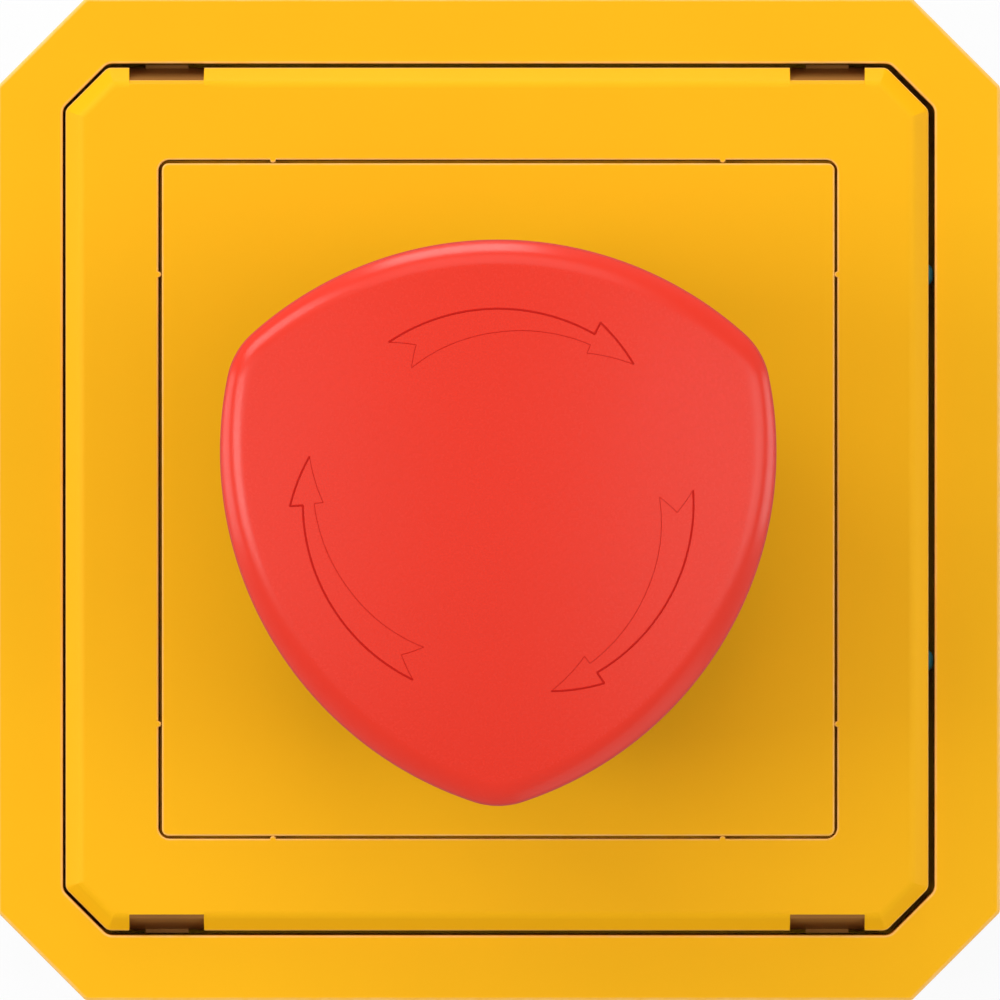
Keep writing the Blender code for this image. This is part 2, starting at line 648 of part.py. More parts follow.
def make_mechanism_frame(material):
    """Square carrier: bevelled skin on two walls, with a ledge that holds the plate."""
    chamfer = inset_chamfer(WINDOW_CHAMFER, FRAME_GAP)
    frame = square("mechanism_frame", FRAME_HALF, (FRAME_Z, FACE_Z), material, chamfer,
                   edge=FRAME_BEVEL)
    wall_at = FRAME_HALF - FRAME_OUTER_WALL
    hollow = square("frame_hollow", wall_at, (FRAME_Z - OVERSHOOT, FACE_Z - FRAME_SKIN),
                    corner=inset_chamfer(chamfer, FRAME_OUTER_WALL))
    inner = square("frame_inner_wall", MODULE_HALF + FRAME_INNER_WALL,
                   (FRAME_Z, FACE_Z - FRAME_SKIN / 2), corner=MODULE_WINDOW_RADIUS)
    window = square("frame_window", MODULE_HALF, (FRAME_Z + LEDGE_HEIGHT, FACE_Z + OVERSHOOT),
                    corner=MODULE_WINDOW_RADIUS, steps=4)
    opening = square("frame_opening", MODULE_HALF - LEDGE_WIDTH,
                     (FRAME_Z - OVERSHOOT, FACE_Z), corner=MODULE_WINDOW_RADIUS)
    rows = [(along, side) for along in (-NUB_OFFSET, NUB_OFFSET)
            for side in (-MODULE_HALF, MODULE_HALF)]
    nubs = pins("frame_nubs", NUB_RADIUS, (FACE_Z - NUB_HEIGHT, FACE_Z - CLEARANCE),
                rows + [(v, u) for u, v in rows], SMALL)
    tabs = boxes("frame_tab_recesses",
                 [((FRAME_HALF - TAB_THICKNESS - CLEARANCE, FRAME_HALF + OVERSHOOT),
                   (at - TAB_WIDTH / 2 - CLEARANCE, at + TAB_WIDTH / 2 + CLEARANCE),
                   (FRAME_Z - OVERSHOOT, FACE_Z - TAB_BELOW_FACE + CLEARANCE))
                  for at in (TAB_UP, TAB_DOWN)])
    notches = []
    tongues = []
    for side in (-1, 1):
        near, far = FRAME_HALF - NOTCH_DEPTH, FRAME_HALF + OVERSHOOT
        ramp = near + NOTCH_EDGE
        steep = (NOTCH_DROP - NOTCH_EDGE) / (NOTCH_DEPTH - NOTCH_EDGE)
        wedge = [(side * near, FACE_Z + OVERSHOOT), (side * near, FACE_Z),
                 (side * ramp, FACE_Z - NOTCH_EDGE),
                 (side * far, FACE_Z - NOTCH_EDGE - steep * (far - ramp)),
                 (side * far, FACE_Z + OVERSHOOT)]
        for across in (-NOTCH_OFFSET, NOTCH_OFFSET):
            span = (across - NOTCH_WIDTH / 2, across + NOTCH_WIDTH / 2)
            notches.append(prism(f"frame_notch_{len(notches)}", wedge, span, plane='YZ'))
            reach = sorted((side * (near + CLEARANCE), side * (FRAME_HALF + TONGUE_REACH)))
            tongues.append(((across - TONGUE_WIDTH / 2, across + TONGUE_WIDTH / 2), reach,
                            (FACE_Z - TONGUE_DROP - TONGUE_HEIGHT, FACE_Z - TONGUE_DROP)))
    cut(frame, hollow)
    fuse(frame, inner)
    cut(frame, window, opening, tabs, *notches)
    fuse(frame, nubs, boxes("frame_tongues", tongues))
    frame.location.x = FRAME_SHIFT
    for tool in list(CUTTERS.objects):
        if tool.name.startswith("frame_"):
            tool.location.x = FRAME_SHIFT


def make_frame_gasket(material):
    """Seal under the carrier, with two tabs that rise in its side."""
    chamfer = inset_chamfer(WINDOW_CHAMFER, FRAME_GAP)
    span = (FRAME_SEAL_Z, FRAME_SEAL_Z + FRAME_SEAL)
    seal = square("frame_gasket", FRAME_HALF, span, material, chamfer)
    hole = square("gasket_hole", FRAME_HALF - FRAME_SEAL_WIDTH,
                  (span[0] - OVERSHOOT, span[1] + OVERSHOOT), corner=MODULE_WINDOW_RADIUS)
    tabs = boxes("gasket_tabs",
                 [((FRAME_HALF - TAB_THICKNESS, FRAME_HALF + TONGUE_REACH),
                   (at - TAB_WIDTH / 2, at + TAB_WIDTH / 2),
                   (span[0], FACE_Z - TAB_BELOW_FACE)) for at in (TAB_UP, TAB_DOWN)])
    cut(seal, hole)
    fuse(seal, tabs)
    for thing in (seal, hole, tabs):
        thing.location.x = FRAME_SHIFT


def make_centre_plate(material):
    """Square module plate with a skirt, bored for the mechanism's collar."""
    corner = MODULE_WINDOW_RADIUS - CLEARANCE
    plate = square("centre_plate", PLATE_HALF, (PLATE_Z, FACE_Z), material, corner, steps=3)
    hollow = square("plate_hollow", PLATE_HALF - PLATE_WALL,
                    (PLATE_Z - OVERSHOOT, PLATE_UNDER_Z))
    bore = pins("plate_bore", PLATE_BORE, (PLATE_Z, FACE_Z + OVERSHOOT), sides=FINE)
    cut(plate, hollow, bore)
    plate.location.x = hollow.location.x = FRAME_SHIFT


def make_mechanism_housing(material):
    """Guide barrel: collar, flange under the plate, barrel, and saddle for the contacts."""
    seal_floor = COLLAR_Z - SEAL_DEPTH
    seal_radius = COLLAR_RADIUS - SEAL_WALL
    housing = turned("mechanism_housing", [
        (0, BORE_FLOOR_Z), (BORE_RADIUS, BORE_FLOOR_Z), (BORE_RADIUS, seal_floor),
        (seal_radius, seal_floor), (seal_radius, COLLAR_Z), (COLLAR_RADIUS, COLLAR_Z),
        (COLLAR_RADIUS, FLANGE_TOP_Z), (FLANGE_RADIUS, FLANGE_TOP_Z), (FLANGE_RADIUS, FLANGE_Z),
        (BARREL_RADIUS, FLANGE_Z), (BARREL_RADIUS, SADDLE_Z), (0, SADDLE_Z)],
        material, ring=False)
    places = [(EAR_OFFSET, EAR_AT), (-EAR_OFFSET, -EAR_AT)]
    reach = BLOCK_Y + EAR_REACH
    saddle = box("housing_saddle", (-SADDLE_WIDTH / 2, SADDLE_WIDTH / 2), (-reach, reach),
                 (SADDLE_Z, BORE_FLOOR_Z), corner=2.0 * MM, steps=3)
    boss_top = BORE_FLOOR_Z + SADDLE_BOSS_HEIGHT
    bosses = pins("housing_bosses", SADDLE_BOSS_RADIUS, (SADDLE_Z, boss_top), places)
    pilots = pins("housing_pilots", BLOCK_SCREW_SHANK + CLEARANCE,
                  (SADDLE_Z - OVERSHOOT, boss_top - 1.0 * MM), places, SMALL)
    guide = pins("housing_guide", ROD_RADIUS + CLEARANCE,
                 (SADDLE_Z - OVERSHOOT, BORE_FLOOR_Z + OVERSHOOT))
    wide = LATCH_WIRE + CLEARANCE
    slots = boxes("housing_latch_slots",
                  [(sorted((side * (LATCH_AT - wide - CLEARANCE / 3), side * (LATCH_AT + wide))),
                    (-BARREL_RADIUS, BARREL_RADIUS), (LATCH_Z - wide, LATCH_Z + wide))
                   for side in (-1, 1)])
    fuse(housing, saddle, bosses)
    cut(housing, pilots, guide, slots)


def make_lock_ring(material):
    """Castellated ring nut round the collar, tight on the plate."""
    inner = COLLAR_RADIUS + CLEARANCE
    outer = inner + LOCK_RING_WIDTH
    low = FACE_Z + CLEARANCE
    high = low + LOCK_RING_HEIGHT
    rim = 0.5 * MM
    nut = turned("lock_ring", [(outer - rim, high), (outer, high - rim), (outer, low),
                               (inner, low), (inner, high)], material)
    for i in range(LOCK_RING_NOTCHES):
        angle = 2 * pi * i / LOCK_RING_NOTCHES
        notch = box(f"lock_ring_notch_{i}", (outer - rim, outer + OVERSHOOT),
                    (-LOCK_RING_NOTCH / 2, LOCK_RING_NOTCH / 2),
                    (low - OVERSHOOT, high + OVERSHOOT))
        notch.rotation_euler.z = angle
        cut(nut, notch)


def make_lip_seal(material):
    """Rubber ring in the collar's mouth, its lip leaning on the stem."""
    outer = COLLAR_RADIUS - SEAL_WALL - CLEARANCE
    low = COLLAR_Z - SEAL_DEPTH + CLEARANCE
    high = COLLAR_Z
    turned("lip_seal", [(outer - CLEARANCE, high), (outer, high - CLEARANCE), (outer, low),
                        (BORE_RADIUS + SEAL_LIP, low), (BORE_RADIUS + SEAL_LIP, low + SEAL_LIP / 2),
                        (BORE_RADIUS, high - SEAL_LIP / 2), (BORE_RADIUS, high)], material,
           sides=CORE_SIDES)


def make_latch_spring(material):
    """Hairpin wire: two legs beside the stem, joined round the barrel."""
    bend = BARREL_RADIUS + 2 * LATCH_WIRE + CLEARANCE
    turn_in = sqrt(bend ** 2 - LATCH_AT ** 2)
    start = atan2(-turn_in, LATCH_AT)
    arc = [start + (-pi - 2 * start) * i / 14 for i in range(15)]
    points = [(LATCH_AT, LATCH_LEG - turn_in, LATCH_Z)]
    points += [(bend * cos(a), bend * sin(a), LATCH_Z) for a in arc]
    points += [(-LATCH_AT, LATCH_LEG - turn_in, LATCH_Z)]
    wire("latch_spring", points, LATCH_WIRE, material)


def make_push_rod(material):
    """Plunger: guide inside the stem, seat of the return spring, rod to the contacts."""
    seat = CORE_RADIUS - CLEARANCE / 3
    tip = 0.4 * ROD_RADIUS
    return turned("push_rod", [
        (0, GUIDE_TOP_Z), (GUIDE_RADIUS - CLEARANCE, GUIDE_TOP_Z),
        (GUIDE_RADIUS, GUIDE_TOP_Z - CLEARANCE), (GUIDE_RADIUS, SEAT_TOP_Z), (seat, SEAT_TOP_Z),
        (seat, SEAT_Z), (ROD_RADIUS, SEAT_Z), (ROD_RADIUS, ROD_TIP_Z + tip),
        (ROD_RADIUS - tip, ROD_TIP_Z), (0, ROD_TIP_Z)], material, ring=False, sides=ROUND)


def make_head_core(material):
    """Stem under the head, with the latch groove and the three-lobed cam inside it."""
    web_low = GUIDE_TOP_Z + 2 * CLEARANCE + HEAD_SCREW_HEAD_HEIGHT
    hole = HEAD_SCREW_SHANK + CLEARANCE
    spigot_top = CORE_TOP_Z + SPIGOT_LENGTH
    core = turned("head_core", [
        (0, spigot_top), (SPIGOT_RADIUS, spigot_top), (SPIGOT_RADIUS, CORE_TOP_Z),
        (CORE_RADIUS, CORE_TOP_Z), (CORE_RADIUS, CORE_Z), (0, CORE_Z)],
        material, ring=False, sides=CORE_SIDES)
    half = GROOVE_HEIGHT / 2
    groove = turned("core_groove", ring_profile(GROOVE_RADIUS, CORE_RADIUS + OVERSHOOT,
                                                (GROOVE_Z - half, GROOVE_Z + half)), sides=CORE_SIDES)
    cam = prism("core_cam", trefoil(CAM_REACH, CAM_FLAT, CAM_LOBE, side_steps=6, lobe_steps=4),
                (GROOVE_Z - half - CLEARANCE, GROOVE_Z + half + CLEARANCE))
    bore = pins("core_bore", CORE_BORE, (CORE_Z - OVERSHOOT, web_low), sides=CORE_SIDES)
    screw_hole = pins("core_screw_hole", hole, (CORE_Z, spigot_top + OVERSHOOT), sides=SMALL)
    cut(core, groove)
    fuse(core, cam)
    cut(core, bore, screw_hole)
    return core


def head_rings():
    """Rings of the head from its rim up: foot, leaning side, rounded edge, crown."""
    wide_z = HEAD_TOP_Z - HEAD_CROWN - HEAD_EDGE
    levels = [(HEAD_DRAFT + HEAD_FOOT, RIM_Z),
              (HEAD_DRAFT + 0.2 * HEAD_FOOT, RIM_Z + 0.3 * HEAD_FOOT)]
    side = 4
    for i in range(side):
        s = i / side
        levels.append((HEAD_DRAFT * (1 - s) ** 2,
                       RIM_Z + HEAD_FOOT + s * (wide_z - RIM_Z - HEAD_FOOT)))
    turn = 5
    for i in range(turn + 1):
        a = radians(82) * i / turn
        levels.append((HEAD_EDGE * (1 - cos(a)), wide_z + HEAD_EDGE * sin(a)))
    rings = [[(x, y, z) for x, y in trefoil(HEAD_REACH, HEAD_FLAT, HEAD_LOBE_RADIUS, inset)]
             for inset, z in levels]
    edge = rings[-1]
    for share in (0.75, 0.45, 0.12):
        rise = (HEAD_TOP_Z - edge[0][2]) * (1 - share ** 2)
        rings.append([(x * share, y * share, z + rise) for x, y, z in edge])
    return rings


def make_button_head(material):
    """Three-lobed mushroom head, hollow round its hub, with a socket for the stem."""
    head = loft("button_head", head_rings(), material)
    hub = SPIGOT_RADIUS + CLEARANCE + HUB_WALL
    pocket = turned("head_pocket", ring_profile(hub, hub + HEAD_POCKET_WIDTH,
                                                (RIM_Z - OVERSHOOT, RIM_Z + HEAD_POCKET_DEPTH)))
    relief = pins("head_hub_relief", hub + HEAD_POCKET_WIDTH / 2, (RIM_Z - OVERSHOOT, HUB_Z),
                  sides=FINE)
    socket = pins("head_socket", SPIGOT_RADIUS + CLEARANCE, (RIM_Z - OVERSHOOT, SOCKET_Z))
    pilot = pins("head_pilot", HEAD_SCREW_SHANK + CLEARANCE,
                 (SOCKET_Z - OVERSHOOT, SOCKET_Z + HEAD_SCREW_BITE + CLEARANCE), sides=SMALL)
    cut(head, pocket, relief, socket, pilot)
    return head


def make_head_screw(material):
    seat = GUIDE_TOP_Z + CLEARANCE + HEAD_SCREW_HEAD_HEIGHT
    return screw("head_screw", (0, 0), seat, HEAD_SCREW_HEAD, HEAD_SCREW_HEAD_HEIGHT,
                 HEAD_SCREW_SHANK, SOCKET_Z + HEAD_SCREW_BITE, material, up=False, slot=0.9 * MM)


def make_contact_block(material):
    """Open block: cavity for the carrier, strip slots, terminal pockets, two screw ears."""
    body = box("contact_block", (-BLOCK_X, BLOCK_X), (-BLOCK_Y, BLOCK_Y),
               (BLOCK_Z, BLOCK_TOP_Z), material, corner=0.8 * MM, steps=2)
    top = BLOCK_TOP_Z + OVERSHOOT
    ear_z = SADDLE_Z - CLEARANCE
    ears = []
    for way in (-1, 1):
        across = sorted((way * (EAR_OFFSET - EAR_WIDTH / 2), way * (EAR_OFFSET + EAR_WIDTH / 2)))
        along = sorted((way * (BLOCK_Y - BLOCK_WALL / 2), way * (BLOCK_Y + EAR_REACH)))
        ears.append((across, along, (BLOCK_TOP_Z - EAR_THICKNESS, BLOCK_TOP_Z)))
        outside = sorted((way * BLOCK_Y, way * (BLOCK_Y + EAR_REACH)))
        ears.append((across, outside, (BLOCK_TOP_Z - EAR_THICKNESS / 2, ear_z)))
    cavity = box("block_cavity", (-CAVITY_X, CAVITY_X), (-CAVITY_Y, CAVITY_Y),
                 (BLOCK_FLOOR_Z, top))
    slots, pockets, windows = [], [], []
    for side in (-1, 1):
        for pole in (-POLE_AT, POLE_AT):
            slots.append((sorted((side * STRIP_START, side * (TERMINAL_X + CLEARANCE))),
                          (pole - BRIDGE_SLOT / 2, pole + BRIDGE_SLOT / 2),
                          (STRIP_NO_Z - CLEARANCE, top)))
            pockets.append((sorted((side * TERMINAL_X, side * TERMINAL_END)),
                            (pole - TERMINAL_WIDTH / 2, pole + TERMINAL_WIDTH / 2),
                            (STRIP_END_Z - 2 * CLAMP_THICKNESS - 1.5 * MM, top)))
            windows.append((sorted((side * TERMINAL_AT, side * (BLOCK_X + OVERSHOOT))),
                            (pole - WIRE_WINDOW_WIDTH / 2, pole + WIRE_WINDOW_WIDTH / 2),
                            (STRIP_END_Z, BLOCK_TOP_Z - 1.3 * MM)))
    ear_holes = pins("block_ear_holes", BLOCK_SCREW_SHANK + CLEARANCE,
                     (BLOCK_FLOOR_Z, SADDLE_Z + OVERSHOOT),
                     [(EAR_OFFSET, EAR_AT), (-EAR_OFFSET, -EAR_AT)], SMALL)
    lower = boxes("block_ears", ears[0::2])
    upper = boxes("block_ear_pads", ears[1::2])
    fuse(body, lower, upper)
    cut(body, cavity, boxes("block_slots", slots), boxes("block_pockets", pockets),
        boxes("block_windows", windows), ear_holes)


def make_contact_cover(material):
    """Snap-on lid over the carrier, with a tab down each long side of the block."""
    half_x = TERMINAL_X - CLEARANCE
    lid = box("contact_cover", (-half_x, half_x), (-BLOCK_Y + CLEARANCE, BLOCK_Y - CLEARANCE),
              (LID_Z, LID_TOP_Z), material)
    tab = LID_TAB_WIDTH / 2
    reach = BLOCK_Y + CLEARANCE + LID_TAB_THICKNESS
    bridge = box("cover_bridge", (-tab, tab), (-reach, reach), (LID_Z, LID_TOP_Z))
    tabs = boxes("cover_tabs",
                 [((-tab, tab), sorted((side * (BLOCK_Y + CLEARANCE), side * reach)),
                   (LID_TOP_Z - BLOCK_LID / 2 - LID_TAB_LENGTH, LID_TOP_Z - BLOCK_LID / 4))
                  for side in (-1, 1)])
    hole = pins("cover_hole", CARRIER_BOSS + CLEARANCE,
                (LID_Z - OVERSHOOT, LID_TOP_Z + OVERSHOOT))
    fuse(lid, bridge, tabs)
    cut(lid, hole)


def make_contact_carrier(material):
    """Moving carrier: boss under the rod, two bridge windows, pocket for its spring."""
    half = CARRIER_DEPTH / 2
    carrier = box("contact_carrier", (-half, half), (-CARRIER_HALF, CARRIER_HALF),
                  (CARRIER_Z, CARRIER_TOP_Z), material)
    boss = pins("carrier_boss", CARRIER_BOSS, (SLOT_TOP_Z, BOSS_TOP_Z))
    windows = boxes("carrier_windows",
                    [((-CARRIER_DEPTH, CARRIER_DEPTH),
                      (pole - BRIDGE_SLOT / 2, pole + BRIDGE_SLOT / 2), (SLOT_Z, SLOT_TOP_Z))
                     for pole in (-POLE_AT, POLE_AT)])
    pocket = pins("carrier_pocket", CARRIER_POCKET, (CARRIER_Z - OVERSHOOT, SLOT_TOP_Z))
    fuse(carrier, boss)
    cut(carrier, windows, pocket)
    return carrier


def make_bridge(name, pole, low, up, material):
    """Moving bridge: a strip with a round contact near each end, above or below it."""
    half = BRIDGE_LENGTH / 2
    strip = box(name, (-half, half), (pole - BRIDGE_WIDTH / 2, pole + BRIDGE_WIDTH / 2),
                (low, low + STRIP_THICKNESS), material)
    dome = 0.15 * MM
    span = (low + dome, low + STRIP_THICKNESS + dome) if up else (low - dome, low + dome)
    at = half - STRIP_OVERLAP / 2
    fuse(strip, pins(name + "_points", STRIP_OVERLAP / 2 - CLEARANCE / 3, span,
                     [(-at, pole), (at, pole)], SMALL))
    return strip


def make_fixed_contact(name, side, pole, low, material):
    """Fixed strip: contact end by the bridge, upright part, bored terminal end."""
    top = low + STRIP_THICKNESS
    end_top = STRIP_END_Z + STRIP_THICKNESS
    far = TERMINAL_END - CLEARANCE
    knee = RISER_X + STRIP_THICKNESS
    if low < STRIP_END_Z:
        outline = [(STRIP_START, low), (knee, low), (knee, STRIP_END_Z), (far, STRIP_END_Z),
                   (far, end_top), (RISER_X, end_top), (RISER_X, top), (STRIP_START, top)]
    else:
        outline = [(STRIP_START, low), (RISER_X, low), (RISER_X, STRIP_END_Z), (far, STRIP_END_Z),
                   (far, end_top), (knee, end_top), (knee, top), (STRIP_START, top)]
    if side < 0:
        outline = [(-x, z) for x, z in reversed(outline)]
    strip = prism(name, outline, (pole - BRIDGE_WIDTH / 2, pole + BRIDGE_WIDTH / 2), material,
                  plane='XZ')
    hole = pins(name + "_hole", TERMINAL_SCREW_SHANK + CLEARANCE,
                (STRIP_END_Z - OVERSHOOT, end_top + OVERSHOOT), [(side * TERMINAL_AT, pole)], SMALL)
    cut(strip, hole)


def make_terminals(brass, steel):
    """Four fixed contacts, each with its clamp plate and screw."""
    clamp_z = STRIP_END_Z + STRIP_THICKNESS + CLEARANCE
    head_z = clamp_z + CLAMP_THICKNESS + CLEARANCE
    tip_z = STRIP_END_Z - 2 * CLAMP_THICKNESS
    number = 0
    for kind, pole, low in (("nc", -POLE_AT, STRIP_NC_Z), ("no", POLE_AT, STRIP_NO_Z)):
        for side in (-1, 1):
            number += 1
            place = (side * TERMINAL_AT, pole)
            make_fixed_contact(f"fixed_contact_{kind}_{1 if side < 0 else 2}", side, pole, low, brass)
            reach = TERMINAL_LENGTH / 2 - CLEARANCE
            clamp = box(f"terminal_clamp_{number}", (place[0] - reach, place[0] + reach),
                        (pole - TERMINAL_WIDTH / 2 + CLEARANCE, pole + TERMINAL_WIDTH / 2 - CLEARANCE),
                        (clamp_z, clamp_z + CLAMP_THICKNESS), steel)
            cut(clamp, pins(f"clamp_hole_{number}", TERMINAL_SCREW_SHANK + CLEARANCE,
                            (clamp_z - OVERSHOOT, head_z), [place], SMALL))
            screw(f"terminal_screw_{number}", place, head_z, TERMINAL_SCREW_HEAD,
                  TERMINAL_SCREW_HEAD_HEIGHT, TERMINAL_SCREW_SHANK, tip_z, steel, slot=0.7 * MM)


def make_block_screws(material):
    ear_under = BLOCK_TOP_Z - EAR_THICKNESS
    seat = ear_under - CLEARANCE
    tip = BORE_FLOOR_Z + SADDLE_BOSS_HEIGHT - 1.0 * MM - CLEARANCE
    for number, way in ((1, 1), (2, -1)):
        screw(f"block_screw_{number}", (way * EAR_OFFSET, way * EAR_AT), seat, BLOCK_SCREW_HEAD,
              BLOCK_SCREW_HEAD_HEIGHT, BLOCK_SCREW_SHANK, tip, material, up=False, slot=0.8 * MM)


def make_grommet(name, side, material):
    """Cable membrane: outer rim in the wall's recess, neck, inner rim, thin middle."""
    outer = ENTRY_RADIUS + ENTRY_RIM - CLEARANCE
    neck = ENTRY_RADIUS - CLEARANCE
    face = -0.1 * MM
    rim = -ENTRY_RECESS + CLEARANCE
    inside = -CASE_WALL - CLEARANCE
    lip = neck + 1.6 * MM
    back = inside - 1.2 * MM
    dish = -ENTRY_RECESS
    grommet = turned(name, [
        (0, dish), (0.45 * neck, dish), (0.8 * neck, face), (outer, face), (outer, rim), (neck, rim),
        (neck, inside), (lip, inside), (lip - 0.8 * MM, back), (neck - GROMMET_SKIN, back),
        (0.8 * neck, face - GROMMET_SKIN - 0.4 * MM), (0.45 * neck, dish - GROMMET_SKIN),
        (0, dish - GROMMET_SKIN)], material, ring=False, sides=GROMMET_SIDES)
    grommet.rotation_euler.x = -side * pi / 2
    grommet.location = (0, side * CASE_HALF, ENTRY_HEIGHT)


def make_wall_plug(name, x, material):
    """Rubber plug over a wall-fixing screw's hole."""
    shaft = FIXING_RADIUS - CLEARANCE
    low = BACK_WALL + CLEARANCE
    high = low + PLUG_FLANGE
    wide = FIXING_RADIUS + 1.5 * MM
    plug = turned(name, [(0, high), (wide - 0.4 * MM, high), (wide, high - 0.4 * MM), (wide, low),
                         (shaft, low), (shaft, 0.6 * BACK_WALL), (0.6 * shaft, 0.3 * BACK_WALL),
                         (0, 0.3 * BACK_WALL)], material, ring=False, sides=SCREW_SIDES)
    plug.location.x = x


def axis_empty(name, parent=None):
    """An empty on the push axis that carries the pieces moving together."""
    empty = bpy.data.objects.new(name, None)
    empty.empty_display_size = CASE_WIDTH / 4
    PIECES.objects.link(empty)
    empty.parent = parent
    return empty


def main():
    yellow = finish("yellow_moulding", YELLOW, 0.42)
    grey = finish("grey_box_moulding", (0.55, 0.56, 0.55), 0.5)
    red = finish("red_head_moulding", RED, 0.32)
    black = finish("black_moulding", (0.02, 0.02, 0.022), 0.45)
    dark = finish("dark_grey_moulding", (0.06, 0.062, 0.066), 0.5)
    clear_grey = finish("pale_grey_moulding", (0.55, 0.56, 0.56), 0.4)
    rubber = finish("black_rubber", (0.014, 0.014, 0.015), 0.75)
    teal = finish("teal_rubber", (0.012, 0.085, 0.09), 0.6)
    steel = finish("zinc_plated_steel", (0.62, 0.63, 0.64), 0.3, 1.0)
    spring = finish("spring_steel", (0.45, 0.45, 0.46), 0.25, 1.0)
    brass = finish("contact_brass", (0.72, 0.52, 0.22), 0.3, 1.0)

    make_back_box(grey)
    make_case_gasket(rubber)
    make_casing(yellow)
    make_case_screws(steel)
    make_grommet("cable_grommet_top", 1, rubber)
    make_grommet("cable_grommet_bottom", -1, rubber)
    make_wall_plug("wall_plug_1", -FIXING_AT, rubber)
    make_wall_plug("wall_plug_2", FIXING_AT, rubber)
    make_mechanism_frame(yellow)
    make_frame_gasket(teal)
    make_centre_plate(yellow)
    make_mechanism_housing(black)
    make_lock_ring(dark)
    make_lip_seal(rubber)
    make_latch_spring(spring)
    make_contact_block(dark)
    make_contact_cover(clear_grey)
    make_block_screws(steel)
    make_terminals(brass, steel)

    push = axis_empty("push_axis")
    turn = axis_empty("turn_axis", push)
    switch = axis_empty("contact_axis")
    make_push_rod(clear_grey).parent = push
    coil("return_spring", (0, 0), (GUIDE_RADIUS + CORE_RADIUS) / 2 - 2 * CLEARANCE,
         RETURN_SPRING_WIRE, (SPRING_Z, SPRING_TOP_Z), RETURN_SPRING_TURNS, spring)
    for piece in (make_button_head(red), make_head_core(dark), make_head_screw(steel)):
        piece.parent = turn
    pocket_top = SLOT_TOP_Z - CLEARANCE
    coil("carrier_spring", (0, 0), CARRIER_POCKET - CLEARANCE - CARRIER_SPRING_WIRE,
         CARRIER_SPRING_WIRE, (BLOCK_FLOOR_Z + CLEARANCE, pocket_top), CARRIER_SPRING_TURNS,
         spring)
    spring_nc = (SLOT_Z + CLEARANCE, BRIDGE_NC_Z - CLEARANCE)
    spring_no = (BRIDGE_NO_Z + STRIP_THICKNESS + CLEARANCE, SLOT_TOP_Z - CLEARANCE)
    moving = [make_contact_carrier(black),
              make_bridge("bridge_nc", -POLE_AT, BRIDGE_NC_Z, True, brass),
              make_bridge("bridge_no", POLE_AT, BRIDGE_NO_Z, False, brass),
              coil("contact_spring_nc", (0, -POLE_AT), CONTACT_SPRING_RADIUS, CONTACT_SPRING_WIRE,
                   spring_nc, CONTACT_SPRING_TURNS, spring),
              coil("contact_spring_no", (0, POLE_AT), CONTACT_SPRING_RADIUS, CONTACT_SPRING_WIRE,
                   spring_no, CONTACT_SPRING_TURNS, spring)]
    for piece in moving:
        piece.parent = switch


main()
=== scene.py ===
"""Emergency stop push button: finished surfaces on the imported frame.

The wall is the plane z = 0, +Z points out of the front and +Y is up. Every piece is a
stack of closed outlines: a profile runs over the piece in the plane of distance and
height, and each of its points is one outline at that distance from the push axis.
"""
import json
from math import cos, pi, radians, sin, sqrt, tan

import bmesh
import bpy
import numpy as np
from bpy.props import FloatProperty, FloatVectorProperty, PointerProperty
from bpy.types import Operator, Panel, PropertyGroup
from mathutils import Matrix, Vector


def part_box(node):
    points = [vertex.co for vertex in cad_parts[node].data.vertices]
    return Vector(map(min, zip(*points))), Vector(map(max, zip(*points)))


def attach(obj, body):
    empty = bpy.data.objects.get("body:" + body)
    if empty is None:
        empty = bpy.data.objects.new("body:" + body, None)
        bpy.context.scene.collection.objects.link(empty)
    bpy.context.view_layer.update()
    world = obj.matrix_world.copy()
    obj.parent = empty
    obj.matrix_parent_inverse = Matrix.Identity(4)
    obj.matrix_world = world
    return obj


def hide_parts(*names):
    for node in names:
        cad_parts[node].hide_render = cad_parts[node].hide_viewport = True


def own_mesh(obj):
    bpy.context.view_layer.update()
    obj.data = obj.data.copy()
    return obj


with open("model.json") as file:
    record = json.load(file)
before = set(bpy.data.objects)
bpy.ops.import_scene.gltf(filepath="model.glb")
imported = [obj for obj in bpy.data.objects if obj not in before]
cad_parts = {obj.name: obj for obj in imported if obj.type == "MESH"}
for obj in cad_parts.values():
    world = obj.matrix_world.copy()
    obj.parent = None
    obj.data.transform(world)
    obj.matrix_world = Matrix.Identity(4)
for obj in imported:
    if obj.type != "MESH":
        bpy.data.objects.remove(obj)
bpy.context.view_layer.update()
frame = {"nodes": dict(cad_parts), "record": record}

bl_info = {
    "name": "Emergency Stop Push Button",
    "version": (1, 0, 0),
    "blender": (4, 5, 0),
    "location": "3D View > Sidebar > Stop Button",
    "description": "Builds the finished surfaces of a stop button in its surface case",
    "category": "Object",
}

MM = 0.001
NODES = frame["nodes"]

# Places that come from the frame
CASE_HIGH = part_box("casing")[1]
CARRIER_LOW, CARRIER_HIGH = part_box("mechanism_frame")
CARRIER_HALF = (CARRIER_HIGH.x - CARRIER_LOW.x) / 2
CARRIER_CENTRE = (CARRIER_HIGH.x + CARRIER_LOW.x) / 2
PLATE_LOW, PLATE_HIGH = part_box("centre_plate")
SEAL_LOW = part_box("frame_gasket")[0]
RING_LOW, RING_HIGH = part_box("lock_ring")
HEAD_LOW, HEAD_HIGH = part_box("button_head")
BOX_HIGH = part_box("back_box")[1]

